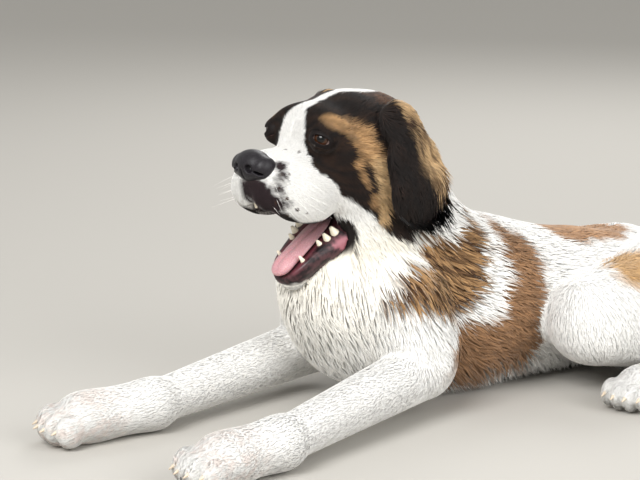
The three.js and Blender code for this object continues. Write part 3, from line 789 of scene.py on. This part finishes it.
def ear_colours(points):
    x, y, z = np.asarray(points, float).T
    light = strands(x, y * 2, z * 0.3)[:, None]
    edge = np.interp(z, [196, 210, 222, 235, 249, 266, 280, 295], [60, 40, 12, -3, -7, -12, -16, -19])
    gold = edge - y + 4 * ripple(x, y * 2, z * 0.5, 2)
    base = COLOUR["black"] * 0.7 + COLOUR["dark"] * 0.1 * light
    light = np.clip(light * 1.25, 0, 1)
    return paint(base, (COLOUR["gold"] * light + COLOUR["dark"] * (1 - light)), gold, 16)


print("markings of", len(HEX), "colours")

# %% [markdown]
# One skin covers the whole animal, so no seam shows between neck, trunk and legs. The grid is 2.3 mm
# round the head and about 5 mm elsewhere. The ears and the lower jaw are thin forms with edges of their
# own, so they are skins apart.

# %% The skin
CELL = 2.3
grid = (
    steps((-214, 5), (-84, CELL), (84, 5), (262, 0)),
    steps((-372, 4.5), (-168, CELL), (44, 4.5), (572, 0)),
    steps((-6, 4), (122, CELL), (318, 0)),
)
skin_points, skin_faces = surface_nets(skin, *grid)
# the skin takes the markings darkened by a tenth: painted shade under the tufts
body_skin = mesh_piece("body_skin", skin_points, skin_faces, under_fur, coat_colours(skin_points) * 0.9)
print("skin of", len(skin_faces), "squares")

ear_depth = 1.6
jaw_depth = 0.7


def ear_flap(x, y, z):
    """The ear under its hair, fuller along its rear edge, where the fringe grows."""
    return ear(x, y, z) + ear_depth - 7 * ramp(y, 2, 34) * ramp(z, 196, 244)


ear_points, ear_faces = surface_nets(
    lambda x, y, z: np.maximum(ear_flap(x, y, z), 0.4 - flesh(x, y, z) - depth(x, y, z)),
    steps((38, 2), (100, 0)), steps((-62, 2.4), (64, 0)), steps((168, 2.4), (314, 0)),
)
ear_skins = {}
for side, s in SIDES.items():
    points = ear_points * (s, 1, 1)
    faces = ear_faces if s > 0 else ear_faces[:, ::-1]
    # the ear's skin takes its markings darkened by a fifth: painted shade under the hair
    ear_skins[side] = mesh_piece(f"ear_skin_{side}", points, faces, under_fur, ear_colours(ear_points) * 0.8)
    print("ear", side, "of", len(faces), "squares")

jaw_points, jaw_faces = surface_nets(
    lambda x, y, z: np.maximum(jaw(x, y, z) + jaw_depth, 0.4 - skin(x, y, z)),
    steps((-50, 1.7), (50, 0)), steps((-132, 1.7), (-28, 0)), steps((104, 1.7), (206, 0)),
)


def lip_line(y):
    """How far under the jaw's rim the black lip ends: it is thin at the chin and broad at the back."""
    return np.interp(y, [-111, -100, -88, -76], [-3, -8, -12, -15])


def jaw_colours(points):
    x, y, z = np.asarray(points, float).T
    height = jaw_height(y, z) + 1.2 * ripple(x, y, z, 3)
    colour = np.tile(COLOUR["white"], (len(x), 1))
    colour = paint(colour, COLOUR["stain"], -84 - y, 16)
    mottle = np.clip(0.5 + 0.6 * ripple(x, y, z, 7), 0, 1)[:, None]
    lip = linear("#171013") * (1 - mottle) + linear("#4B3033") * mottle
    colour = paint(colour, lip, lip_line(y) - height, 3)
    gum = ball((side_of(x) * 35, -62, 165), (10, 11, 6))(x, y, z) + 2.5 * ripple(x, y, z, 6)
    colour = paint(colour, linear("#9A5F68"), gum, 5)
    inner = np.maximum(6 - height, np.abs(x) - 19)
    return paint(colour, linear("#6E343E"), inner, 6)


jaw_skin = mesh_piece("jaw_skin", jaw_points, jaw_faces, wet_skin, jaw_colours(jaw_points))
print("jaw of", len(jaw_faces), "squares")

# %% [markdown]
# Hair lies in one direction on each part of a dog: back from the nose over the face, down the cheeks and
# ears, down the throat and chest, back along the trunk and slightly down its sides, and along the legs to
# the toes. This function gives that direction anywhere, and another gives how long and how wide a tuft is
# there.

# %% Lie and length of the coat


def along(points):
    x, y, z = points.T
    side = side_of(x)
    o = np.ones_like(x)
    lie = np.stack([0.12 * side, o, -0.5 * o], 1)
    front = ramp(-y, -70, 20)[:, None]
    lie = lie * (1 - front) + np.stack([0.15 * side, 0.35 * o, -1.0 * o], 1) * front
    for name, leg in legs.items():
        elbow, paw = np.array(ELBOW[name], float), np.array(FOREPAW[name], float)
        near = (1 - ramp(foreleg(leg, x, y, z), 0, 16))[:, None] * ramp(-y, 10, 60)[:, None]
        lie = lie * (1 - near) + (paw - elbow) / np.linalg.norm(paw - elbow) * near
        over = (1 - ramp(leg["thigh"](x, y, z), 0, 18))[:, None]
        lie = lie * (1 - over) + np.stack([0.15 * side, 0.3 * o, -o], 1) * over
        hock, toes = np.array(HOCK[name], float), np.array(HINDPAW[name], float)
        near = (1 - ramp(leg["hindpaw"]["field"](x, y, z), 2, 30))[:, None]
        lie = lie * (1 - near) + (toes - hock) / np.linalg.norm(toes - hock) * near
    for a, b in zip(TAIL, TAIL[1:]):
        near = (1 - ramp(limb(a, b, 18, 18)(x, y, z), 0, 14))[:, None]
        way = np.subtract(b, a) / np.linalg.norm(np.subtract(b, a))
        lie = lie * (1 - near) + way * near
    skirt = under_belly(x, y, z)[:, None]
    lie = lie * (1 - skirt) + np.stack([0.3 * side, 0.5 * o, -1.3 * o], 1) * skirt
    face = (1 - ramp(skull(x, y, z), 0, 12))[:, None] * ramp(z + np.clip(-y - 60, 0, 60), 150, 200)[:, None]
    muzzle = np.stack([0.4 * side, o, -0.15 - 0.02 * (240 - z)], 1)
    cheek = np.stack([0.1 * side, 0.75 * o, -0.015 * np.clip(262 - z, -30, 60)], 1)
    back = ramp(y, -100, -70)[:, None]
    return lie * (1 - face) + (muzzle * (1 - back) + cheek * back) * face


def under_belly(x, y, z):
    """How much a root belongs to the skirt of longer hair that hangs from the chest and belly."""
    limbs = [np.minimum(foreleg(leg, x, y, z), hindleg(leg, x, y, z)) for leg in legs.values()]
    return ramp(np.minimum(*limbs), 6, 20) * ramp(-z, -52, -26) * ramp(y, -40, 0) * ramp(-y, -330, -260)


def tuft_size(points):
    """Length and half width in millimetres."""
    x, y, z = points.T
    length = mix(25, 19, ramp(y, 30, 140))
    width = mix(1.02, 0.92, ramp(y, 30, 140))
    face = 1 - ramp(skull(x, y, z), 0, 14)
    face_length = mix(3.2, 9.5, ramp(y, -110, -30)) + 5 * ramp(-z, -215, -150) * ramp(y, -70, -30)
    length = mix(length, face_length, face)
    width = mix(width, mix(0.4, 0.62, ramp(y, -110, -40)), face)
    for leg in legs.values():
        near = 1 - ramp(leg["thigh"](x, y, z), 0, 30)
        length, width = mix(length, 15, near), mix(width, 0.8, near)
        near = 1 - ramp(foreleg(leg, x, y, z), 0, 26)
        length, width = mix(length, 9, near), mix(width, 0.62, near)
        near = 1 - ramp(hindleg(leg, x, y, z), 0, 30)
        length, width = mix(length, 10, near), mix(width, 0.66, near)
        for paw in (leg["forepaw"], leg["hindpaw"]):
            near = 1 - ramp(paw["field"](x, y, z), 0, 10)
            length, width = mix(length, 5.5, near), mix(width, 0.5, near)
    a, b, c = eye_axes(x, y, z)
    by_eye = 1 - ramp(np.sqrt(a * a + b * b + c * c) - EYE_R, 3, 9)
    length, width = mix(length, 3, by_eye), mix(width, 0.4, by_eye)
    skirt = under_belly(x, y, z)
    length, width = mix(length, 27, skirt), mix(width, 1.0, skirt)
    plume = 1 - ramp(tail(x, y, z), 0, 10)
    return mix(length, 30, plume), mix(width, 1.1, plume)


# %% [markdown]
# A tuft is a closed sliver with three sides: seven corners, ten triangles, rooted just under the skin.
# Its middle and tip are pushed to a height over the skin that is read from the field, so it follows every
# hollow and lies on the body. Its colour is the marking at its root, a little lighter or darker than its
# neighbours.

# %% Tufts
TUFT_FACES = np.array(
    [
        [2, 1, 0], [4, 3, 0], [1, 4, 0], [5, 4, 1], [2, 5, 1],
        [3, 5, 2], [0, 3, 2], [4, 6, 3], [5, 6, 4], [3, 6, 5],
    ]
)
TUFT_CORNERS = 7
CHARTS = 8


def corner_triangles(points, faces):
    tri = np.concatenate([faces[:, [0, 1, 2]], faces[:, [0, 2, 3]]])
    a, b, c = points[tri[:, 0]], points[tri[:, 1]], points[tri[:, 2]]
    return tri, np.cross(b - a, c - a)


def point_normals(points, faces):
    tri, normal = corner_triangles(points, faces)
    total = np.zeros_like(points)
    for c in range(3):
        np.add.at(total, tri[:, c], normal)
    return total / (np.linalg.norm(total, axis=1, keepdims=True) + 1e-9)


def roots_on(points, faces, density, seed):
    """Points spread over a skin, so many to a square millimetre, with their normals."""
    draw = np.random.default_rng(seed)
    tri, normal = corner_triangles(points, faces)
    area = np.linalg.norm(normal, axis=1) / 2
    wanted = area * density(points[tri].mean(1))
    number = np.floor(wanted + draw.random(len(tri))).astype(int)
    chosen = np.repeat(np.arange(len(tri)), number)
    u, v = draw.random((2, len(chosen)))
    flip = u + v > 1
    u, v = np.where(flip, 1 - u, u), np.where(flip, 1 - v, v)
    weight = np.stack([1 - u - v, u, v], 1)[:, :, None]
    normals = (point_normals(points, faces)[tri[chosen]] * weight).sum(1)
    normals = normals / (np.linalg.norm(normals, axis=1, keepdims=True) + 1e-9)
    return (points[tri[chosen]] * weight).sum(1), normals


def unwrap(roots, normals):
    """Where each root lies on an unwrap of the skin, with a chart for each part and side."""
    x, y, z = roots.T
    parts = [skull(x, y, z), trunk(x, y, z), neck(x, y, z), tail(x, y, z)]
    parts += [form for leg in legs.values() for form in (foreleg(leg, x, y, z), hindleg(leg, x, y, z))]
    part = np.argmin(parts, 0)
    facing = np.argmax(np.abs(normals), 1)
    chart = part * 6 + facing * 2 + (np.take_along_axis(normals, facing[:, None], 1)[:, 0] > 0)
    pairs = np.array([[1, 2], [0, 2], [0, 1]])[facing]
    flat = np.take_along_axis(roots, pairs, 1)
    low, high = np.array([-220, -380, -10]), np.array([270, 580, 330])
    share = (flat - low[pairs]) / (high - low)[pairs]
    return (np.stack([chart % CHARTS, chart // CHARTS], 1) + 0.04 + 0.92 * share) / CHARTS


def grow_tufts(roots, normals, lie, length, width, rise, surface, draw):
    """The corners of all tufts: rise is how high middle and tip stand over a surface field."""
    straight = lie / np.linalg.norm(lie, axis=1, keepdims=True)
    outward = (straight * normals).sum(1, keepdims=True)
    lie = straight - normals * outward
    lie = lie / (np.linalg.norm(lie, axis=1, keepdims=True) + 1e-9)
    # the hair at the tail's tip goes straight on
    free = ramp(outward, 0.6, 0.9) * (1 - ramp(tail(*roots.T), 2, 12))[:, None]
    lie = lie * (1 - free) + straight * free
    lie = lie / (np.linalg.norm(lie, axis=1, keepdims=True) + 1e-9)
    across = np.cross(normals, lie)
    stray = (draw.normal(0, 0.1, len(roots)) + 0.16 * ripple(*roots.T, 1.2)) * np.clip(length / 16, 0.3, 1)
    stray = stray[:, None]
    lie = lie * np.cos(stray) + across * np.sin(stray)
    across = np.cross(normals, lie)
    length = (length * draw.uniform(0.75, 1.2, len(roots)))[:, None]
    width = (width * draw.uniform(0.8, 1.25, len(roots)))[:, None]
    middle = roots + lie * length * 0.5 + normals * rise[0][:, None]
    bend = across * length * draw.normal(0, 0.07, (len(roots), 1))
    tip = roots + lie * length + bend + normals * rise[1][:, None]
    for place, want in ((middle, rise[0]), (tip, rise[1])):
        place += normals * (want - surface(*place.T))[:, None].clip(-9, 9) * (1 - free)
        place[:, 2] = np.maximum(place[:, 2], 0.9)
    sunk = roots - normals * 0.7
    corners = [sunk - across * width, sunk + across * width, sunk + normals * width]
    corners += [middle - across * width * 0.8, middle + across * width * 0.8]
    corners += [middle + normals * width * 0.5, tip]
    made = np.stack(corners, 1)
    made[:, :, 2] = np.maximum(made[:, :, 2], 0.4)
    return made


MOST_TUFTS = 19900  # in one piece
ROUNDNESS = 0.45  # how far a tuft's edges turn aside


def soft_normals(corners, normals):
    """Normals that shade a coat as one soft surface: the skin's, turned a little at a tuft's edges."""
    side = corners[:, 1] - corners[:, 0]
    side = side / np.linalg.norm(side, axis=1, keepdims=True)
    turned = normals[:, None] + np.array([-1, 1, 0, -1, 1, 0, 0])[:, None] * side[:, None] * ROUNDNESS
    return turned / np.linalg.norm(turned, axis=2, keepdims=True)


def coat_pieces(name, corners, colours, uvs, material, normals):
    """Meshes of fewer than 200,000 triangles, each with its tufts' patches in the map OFBake."""
    shading = soft_normals(corners, normals)
    pieces = []
    order = np.argsort(corners[:, 0, 1], kind="stable")
    patch = np.array([[0, 0], [1, 0], [0.5, 0.5], [0.1, 0.6], [0.9, 0.6], [0.5, 0.8], [0.5, 1]]) * 0.003
    for start in range(0, len(order), MOST_TUFTS):
        chosen = order[start : start + MOST_TUFTS]
        title = f"{name}_{len(pieces) + 1}"
        faces = (np.arange(len(chosen))[:, None, None] * TUFT_CORNERS + TUFT_FACES).reshape(-1, 3)
        shades = np.repeat(colours[chosen], TUFT_CORNERS, axis=0)
        piece = mesh_piece(title, corners[chosen].reshape(-1, 3), faces, material, shades)
        piece.data.normals_split_custom_set_from_vertices(shading[chosen].reshape(-1, 3))
        layer = piece.data.uv_layers.new(name="OFBake")
        flat = (uvs[chosen][:, None] + patch).reshape(-1, 2)
        layer.data.foreach_set("uv", flat[faces.ravel()].astype(np.float32).ravel())
        pieces.append(piece)
    print(name, "with", len(order), "tufts in", len(pieces), "pieces")
    return pieces


COVER = 1.95  # how many times over the tufts would cover the skin


def body_density(points):
    length, width = tuft_size(points)
    x, y, z = points.T
    in_mouth = ramp(mouth(x, y, z) - mix(0, 0.8, ramp(y, -100, -74)), 1.2, 2.6)
    bare_nose = ramp(ball(NOSE, (21, 15, 15))(x, y, z), 0, 1.5)
    a, b, c = eye_axes(x, y, z)
    eyelids = np.where(np.sqrt(a * a + b * b + c * c) < EYE_R + 6, opening(x, y, z) + 8 * (a < 0), 9)
    underside = ramp(z, 1.2, 4)
    cover = COVER / (width * length) * in_mouth * bare_nose
    return cover * ramp(eyelids, 1.5, 2.4) * (0.15 + 0.85 * underside)


draw = np.random.default_rng(SEED + 1)
roots, normals = roots_on(skin_points, skin_faces, body_density, SEED + 2)
length, width = tuft_size(roots)
cover = depth(*roots.T)
skirt = under_belly(*roots.T)
rise = (cover * 0.6 + 0.15 + 2 * skirt, cover * 0.75 + 0.1 + 9 * skirt)
corners = grow_tufts(roots, normals, along(roots), length, width, rise, skin_outside, draw)
shade = draw.uniform(0.9, 1.08, (len(roots), 1))
colours = coat_colours(roots) * shade
body_coat = coat_pieces("body_coat", corners, colours, unwrap(roots, normals), fur, normals)

# %% Ears: short hair on the flap and a fringe of long hair along its back and lower edge


def ear_size(points):
    x, y, z = points.T
    fringe = ramp(y + (250 - z) * 0.3, 8, 34) * ramp(z, 184, 205) + ramp(-z, -206, -188) * 0.7
    return mix(13, 27, np.clip(fringe, 0, 1)), np.full(len(x), 0.7)


def ear_density(points):
    length, width = ear_size(points)
    return 1.9 * COVER / (width * length)


roots, normals = roots_on(ear_points, ear_faces, ear_density, SEED + 3)
length, width = ear_size(roots)
rearward = 0.3 + 0.012 * np.clip(roots[:, 2] - 220, 0, 60) + 0.25 * ramp(roots[:, 1], 10, 40)
lie = np.stack([np.zeros(len(roots)), rearward, -np.ones(len(roots))], 1)
rise = (np.full(len(roots), 1.2), mix(1.8, 4.5, (length - 13) / 20))
corners = grow_tufts(roots, normals, lie, length, width, rise, ear_flap, draw)
shade = draw.uniform(0.75, 1.2, (len(roots), 1))
ear_coats = {}
for side, s in SIDES.items():
    sided = corners * (s, 1, 1)
    if s < 0:
        sided = sided[:, [1, 0, 2, 4, 3, 5, 6]]
    uvs = unwrap(roots * (s, 1, 1), normals * (s, 1, 1))
    colours = ear_colours(roots) * shade
    ear_coats[side] = coat_pieces(f"ear_coat_{side}", sided, colours, uvs, fur, normals * (s, 1, 1))

# %% Lower jaw: short white hair under the lip


def jaw_density(points):
    return 0.55 * COVER * ramp(lip_line(points[:, 1]) - jaw_height(points[:, 1], points[:, 2]), 0, 2)


roots, normals = roots_on(jaw_points, jaw_faces, jaw_density, SEED + 4)
lie = np.stack([0.2 * side_of(roots[:, 0]), np.full(len(roots), 0.8), np.full(len(roots), -0.6)], 1)
sizes = (np.full(len(roots), 8.0), np.full(len(roots), 0.5))
rise = (np.full(len(roots), 0.8), np.full(len(roots), 2.0))
corners = grow_tufts(roots, normals, lie, *sizes, rise, lambda x, y, z: jaw(x, y, z) + jaw_depth, draw)
jaw_coat = coat_pieces("jaw_coat", corners, jaw_colours(roots), unwrap(roots, normals), fur, normals)

# %% [markdown]
# The eye is small, dark and deep-set. The ball is a dense mesh, coloured by rings round the way it looks:
# pupil, brown iris, dark edge and a little white. The skin rises over the ball as a low mound with an
# almond opening, and a ring of bare lid, cut from a shell two millimetres thick, edges the almond. The
# lower lid shows a rim of pale pink.

# %% Eyes and lids
RINGS = 60  # of faces on an eyeball, from front to back
SPOKES = 96


def lid_shell(x, y, z):
    a, b, c = eye_axes(x, y, z)
    shell = np.abs(np.sqrt(a * a + b * b + c * c) - EYE_R - LID_RISE) - 1.1
    gap = opening(x, y, z)
    return smooth_max(np.maximum(shell, 1 - a), np.maximum(-gap, gap - 3.8), 0.8)


lid_grid = [steps((c - 15, 0.55), (c + 15, 0)) for c in EYE]
lid_points, lid_faces = surface_nets(lid_shell, *lid_grid)


def lid_colours(points):
    p = points - EYE
    low_rim = np.clip((-(p @ UPWARD) - 1.5) / 2, 0, 1)[:, None]
    near_ball = np.clip(1.7 - (np.linalg.norm(p, axis=1) - EYE_R), 0, 1)[:, None]
    dark = linear("#120C0B")
    return dark * (1 - low_rim * near_ball) + linear("#A8807C") * low_rim * near_ball


def eye_ball(side, s):
    turns = np.arange(SPOKES) * 2 * np.pi / SPOKES
    u, v = np.meshgrid(np.linspace(0, np.pi, RINGS + 1), turns, indexing="ij")
    way = np.array([GAZE[0] * s, GAZE[1], GAZE[2]])
    out = np.cross([0, 0, 1], way)
    out = out / np.linalg.norm(out)
    up = np.cross(way, out)
    local = np.stack([np.cos(u), np.sin(u) * np.cos(v), np.sin(u) * np.sin(v)], -1)
    bulge = 1 + 0.06 * np.exp(-((u / 0.5) ** 2))[..., None]
    centre = np.array([s * EYE[0], EYE[1], EYE[2]])
    points = (local @ np.array([way, out, up])) * (EYE_R - 0.2) * bulge + centre
    points = points.reshape(-1, 3)
    i, j = np.meshgrid(np.arange(RINGS), np.arange(SPOKES), indexing="ij")
    here, beside = i * SPOKES + j, i * SPOKES + (j + 1) % SPOKES
    faces = np.stack([here, here + SPOKES, beside + SPOKES, beside], -1).reshape(-1, 4)
    ring = u.ravel()
    fibre = 0.75 + 0.25 * np.sin(v.ravel() * 23) * np.sin(v.ravel() * 7 + ring * 9)
    colour = np.tile(linear("#A89690"), (len(points), 1))
    colour = paint(colour, linear("#120A07"), ring - 0.72, 0.08)
    iris = linear("#3F2413") * fibre[:, None]
    share = np.clip(0.5 - (ring - 0.66) / 0.06, 0, 1)[:, None]
    colour = colour * (1 - share) + iris * share
    colour = paint(colour, linear("#020202"), ring - 0.36, 0.05)
    return mesh_piece(f"eye_{side}_ball", points, faces, wet_eye, colour)


eyes, lids = {}, {}
for side, s in SIDES.items():
    eyes[side] = eye_ball(side, s)
    faces = lid_faces if s > 0 else lid_faces[:, ::-1]
    points = lid_points * (s, 1, 1)
    lids[side] = mesh_piece(f"lids_{side}", points, faces, eyelid_skin, lid_colours(lid_points))
    print("eye and lids", side)

# %% [markdown]
# The nose is a broad pad with two commas for nostrils and a groove down its middle. The tongue lies in
# the jaw, with a shallow furrow along it. Both are fields too, meshed finely.

# %% Nose and tongue


def nose_form(x, y, z):
    pad = ball(NOSE, (21, 15, 15), (-8, 0, 0))(x, y, z)
    for s in (1, -1):
        wing = ball((s * 17, NOSE[1] + 1, NOSE[2] - 1), (7.5, 11, 10.5), (0, s * 8, 0))(x, y, z)
        pad = smooth_min(pad, wing, 4)
    for s in (1, -1):
        hole = ball((s * 9, NOSE[1] - 15, NOSE[2] - 1), (4.4, 8, 3.8), (0, s * 30, s * 14))(x, y, z)
        slit = ball((s * 17, NOSE[1] - 8, NOSE[2] - 4), (5, 6, 1.6), (0, s * 16, 0))(x, y, z)
        pad = smooth_max(smooth_max(pad, -hole, 1.5), -slit, 1.2)
    groove = ball((0, NOSE[1] - 14, NOSE[2] - 10), (1.1, 5, 9))(x, y, z)
    return smooth_max(pad, -groove, 1.0)


def tongue_form(x, y, z):
    furrow = 1.6 * np.exp(-((x / 2.6) ** 2)) * ramp(z - 150 - (y + 100) * 0.3, -10, 8)
    return np.maximum(tongue(x, y, z) + furrow, 1.2 - jaw(x, y, z))


nose_box = [steps((c - r, 0.8), (c + r, 0)) for c, r in zip(NOSE, (28, 19, 19))]
nose_pad = mesh_piece("nose_pad", *surface_nets(nose_form, *nose_box), nose_leather)
tongue_box = (steps((-24, 1), (24, 0)), steps((-126, 1), (-34, 0)), steps((132, 1), (194, 0)))
tongue_piece = mesh_piece("tongue_blade", *surface_nets(tongue_form, *tongue_box), wet_tongue)
print("nose of", len(nose_pad.data.polygons), "and tongue of", len(tongue_piece.data.polygons), "faces")

# %% [markdown]
# Teeth, claws and whiskers repeat, so one tree of Geometry Nodes sets them: a cone on each point of a
# small mesh, turned the way and scaled to the size that the point carries. The result is realized and
# made a plain mesh.

# %% A tree that sets cones on points


def cone_tree():
    tree = bpy.data.node_groups.new("cones_on_points", "GeometryNodeTree")
    tree.interface.new_socket("Geometry", in_out="INPUT", socket_type="NodeSocketGeometry")
    for name in ("Base radius", "Tip radius"):
        tree.interface.new_socket(name, in_out="INPUT", socket_type="NodeSocketFloat")
    tree.interface.new_socket("Material", in_out="INPUT", socket_type="NodeSocketMaterial")
    tree.interface.new_socket("Geometry", in_out="OUTPUT", socket_type="NodeSocketGeometry")
    given = add_node(tree, "NodeGroupInput").outputs
    cone = add_node(tree, "GeometryNodeMeshCone", Vertices=10, Side_Segments=6, Depth=1.0)
    tree.links.new(given["Base radius"], cone.inputs["Radius Bottom"])
    tree.links.new(given["Tip radius"], cone.inputs["Radius Top"])
    way = add_node(tree, "GeometryNodeInputNamedAttribute", {"data_type": "FLOAT_VECTOR"}, Name="way")
    size = add_node(tree, "GeometryNodeInputNamedAttribute", {"data_type": "FLOAT_VECTOR"}, Name="size")
    turn = add_node(tree, "FunctionNodeAlignRotationToVector", {"axis": "Z"}, Vector=way.outputs["Attribute"])
    on_points = add_node(tree, "GeometryNodeInstanceOnPoints", Points=given["Geometry"])
    tree.links.new(cone.outputs["Mesh"], on_points.inputs["Instance"])
    tree.links.new(turn.outputs["Rotation"], on_points.inputs["Rotation"])
    tree.links.new(size.outputs["Attribute"], on_points.inputs["Scale"])
    real = add_node(tree, "GeometryNodeRealizeInstances", Geometry=on_points.outputs["Instances"])
    smooth = add_node(tree, "GeometryNodeSetShadeSmooth", Geometry=real.outputs["Geometry"])
    painted = add_node(tree, "GeometryNodeSetMaterial", Geometry=smooth.outputs["Geometry"])
    tree.links.new(given["Material"], painted.inputs["Material"])
    result = add_node(tree, "NodeGroupOutput")
    tree.links.new(painted.outputs["Geometry"], result.inputs["Geometry"])
    return tree


cones_on_points = cone_tree()


def cones(name, places, ways, sizes, material, tip=0.15):
    """Cones rooted at places, in millimetres; each size is (radius, radius, length)."""
    mesh = bpy.data.meshes.new(name)
    mesh.from_pydata(to_metres(places).tolist(), [], [])
    for key, values in (("way", ways), ("size", np.asarray(sizes, float) / 1000)):
        layer = mesh.attributes.new(key, "FLOAT_VECTOR", "POINT")
        layer.data.foreach_set("vector", np.asarray(values, np.float32).ravel())
    carrier = bpy.data.objects.new(name + "_points", mesh)
    bpy.context.collection.objects.link(carrier)
    modifier = carrier.modifiers.new("cones", "NODES")
    modifier.node_group = cones_on_points
    values = {"Base radius": 1.0, "Tip radius": tip, "Material": material}
    for item in cones_on_points.interface.items_tree:
        if item.in_out == "INPUT" and item.name in values:
            modifier[item.identifier] = values[item.name]
    bpy.context.view_layer.update()
    evaluated = carrier.evaluated_get(bpy.context.evaluated_depsgraph_get())
    plain = bpy.data.meshes.new_from_object(evaluated)
    bpy.data.objects.remove(carrier)
    piece = bpy.data.objects.new(name, plain)
    bpy.context.collection.objects.link(piece)
    print(name, "with", len(places), "cones and", len(plain.polygons), "faces")
    return piece


# %% Teeth, claws and whiskers


def reach(field, start, way):
    p = np.array(start, float)
    for _ in range(60):
        p = p + np.array(way) * field(*p)
    return p


jaw_up = np.array([0, -np.sin(JAW_PITCH), np.cos(JAW_PITCH)])
# Distance from the middle and from the chin, radius and height of each lower tooth
LOWER = [(16, 5, 2.8, 6), (20, 27, 3.2, 4.5), (23, 35, 4, 6), (25, 44, 4.6, 6.5)]
places, ways, sizes = [], [], []
for s in (1, -1):
    for across, back, r, tall in LOWER:
        start = np.array([s * across, CHIN[1] + back * np.cos(JAW_PITCH), CHIN[2] + back * np.sin(JAW_PITCH)])
        places.append(reach(jaw, start + jaw_up * 30, -jaw_up) - jaw_up * 2)
        ways.append(jaw_up)
        sizes.append((r, r, tall + 2))
lower_teeth = cones("lower_teeth", places, ways, sizes, enamel, 0.35)
# Place across and along, radius and height of each upper tooth
UPPER = [(3, -136, 2.6, 3), (8, -134, 2.6, 3), (15, -128, 3.2, 5), (21, -96, 3.2, 4), (22, -86, 4, 5)]
places = [reach(head, (s * x, y, 192), (0, 0, 1)) + (0, 0, 2) for s in (1, -1) for x, y, _, _ in UPPER]
ways = [(0, 0, -1)] * len(places)
upper_teeth = cones("upper_teeth", places, ways, [(r, r, t + 2) for _, _, r, t in UPPER] * 2, enamel, 0.35)

CLAW_R = 2.3
CLAW_LENGTH = 7.5
claws = {}
for side, leg in legs.items():
    for kind in ("forepaw", "hindpaw"):
        paw = leg[kind]
        ahead = np.array([*paw["ahead"], 0.0])
        places = np.array(paw["places"]) + ahead * (paw["reach"] * 0.56 - 3) + (0, 0, 1)
        way = ahead + (0, 0, -0.45)
        name = f"claws_{kind}_{side}"
        sizes = [(CLAW_R, CLAW_R, CLAW_LENGTH)] * 4
        claws[name] = cones(name, places, [way] * 4, sizes, claw_horn, 0.2)

draw = np.random.default_rng(SEED + 6)
places, ways, sizes = [], [], []
for s in (1, -1):
    for row in range(4):
        for column in range(5):
            start = (s * 60, -142 + column * 8, 230 - row * 7)
            places.append(reach(lambda x, y, z: flesh(x, y, z) + 1.2, start, (-s, 0, 0)))
            ways.append((s * 0.8, -0.25 + 0.12 * column + draw.normal(0, 0.1), -0.35 + draw.normal(0, 0.1)))
            sizes.append((0.16, 0.16, draw.uniform(14, 30)))
whiskers = cones("whiskers", places, ways, sizes, whisker_hair, 0.1)

# %% [markdown]
# Each piece rides on the one body. The pieces are grouped by finish, and the CAD nodes that they stand for
# are hidden.

# %% Pieces on the body, and the CAD nodes they replace hidden
FLESH = ["head", "neck", "torso", "tail"]
FLESH += [f"{part}_{side}" for part in ("foreleg", "forepaw", "hindleg", "hindpaw") for side in SIDES]
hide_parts(*FLESH)
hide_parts("lower_jaw")
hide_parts("nose")
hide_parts("tongue")
for side in SIDES:
    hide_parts(f"ear_{side}")
    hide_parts(f"eye_{side}")
finishes = {
    "coat": [body_skin, *body_coat, *jaw_coat, whiskers, lower_teeth, upper_teeth, *claws.values()],
    "coat_dark": [*ear_skins.values(), *ear_coats["left"], *ear_coats["right"]],
    "lips": [jaw_skin, *lids.values()],
    "nose": [nose_pad],
    "tongue": [tongue_piece],
    "eye": [*eyes.values()],
}
for name, pieces in finishes.items():
    for piece in pieces:
        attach(piece, "root")
print("pieces:", sum(len(pieces) for pieces in finishes.values()))

# %% [markdown]
# The camera stands where the photograph's was taken to stand: to the dog's front left, a little above it,
# with a long lens, so the hind part and the tail run out of the picture.

# %% Camera
camera_data = bpy.data.cameras.new("camera")
camera_data.lens = LENS
camera_data.sensor_width = SENSOR
camera = bpy.data.objects.new("camera", camera_data)
bpy.context.collection.objects.link(camera)
camera.location = to_metres(CAMERA_PLACE)
camera.rotation_euler = Vector(VIEW_WAY).to_track_quat("-Z", "Y").to_euler()
bpy.context.scene.camera = camera
print("camera at", [round(v, 3) for v in camera.location])

# %% [markdown]
# A pale plain floor and soft studio light: one large lamp high on the camera's left, a weaker one on the
# right, one from behind to edge the fur, and an even pale surround.

# %% Floor and light
FLOOR = 6  # half its width in metres
floor_mesh = bpy.data.meshes.new("studio_floor")
floor_corners = [(-FLOOR, -FLOOR, 0), (FLOOR, -FLOOR, 0), (FLOOR, FLOOR, 0), (-FLOOR, FLOOR, 0)]
floor_mesh.from_pydata(floor_corners, [], [(0, 1, 2, 3)])
floor = bpy.data.objects.new("studio_floor", floor_mesh)
bpy.context.collection.objects.link(floor)
paper, _, paper_shader = new_material("matt_studio_paper", Roughness=0.9)
paper_shader.inputs["Base Color"].default_value = rgba("#B4B1AB")
floor_mesh.materials.append(paper)


def soft_lamp(name, place, target, size, power):
    data = bpy.data.lights.new(name, "AREA")
    data.size = size
    data.energy = power
    lamp = bpy.data.objects.new(name, data)
    bpy.context.collection.objects.link(lamp)
    lamp.location = place
    lamp.rotation_euler = (Vector(target) - Vector(place)).to_track_quat("-Z", "Y").to_euler()


soft_lamp("key", (0.7, -1.9, 1.7), (0, -0.1, 0.1), 1.3, 60)
soft_lamp("fill", (2.2, 0.1, 1.1), (0, 0, 0.1), 1.6, 36)
soft_lamp("edge", (-1.2, 1.6, 1.6), (0, -0.1, 0.2), 1.0, 22)
world = bpy.data.worlds.new("studio")
bpy.context.scene.world = world
world.use_nodes = True
world.node_tree.nodes["Background"].inputs["Color"].default_value = rgba("#F2F1EE")
world.node_tree.nodes["Background"].inputs["Strength"].default_value = 0.72
bpy.context.scene.view_settings.view_transform = "Standard"
print("lit by three lamps")
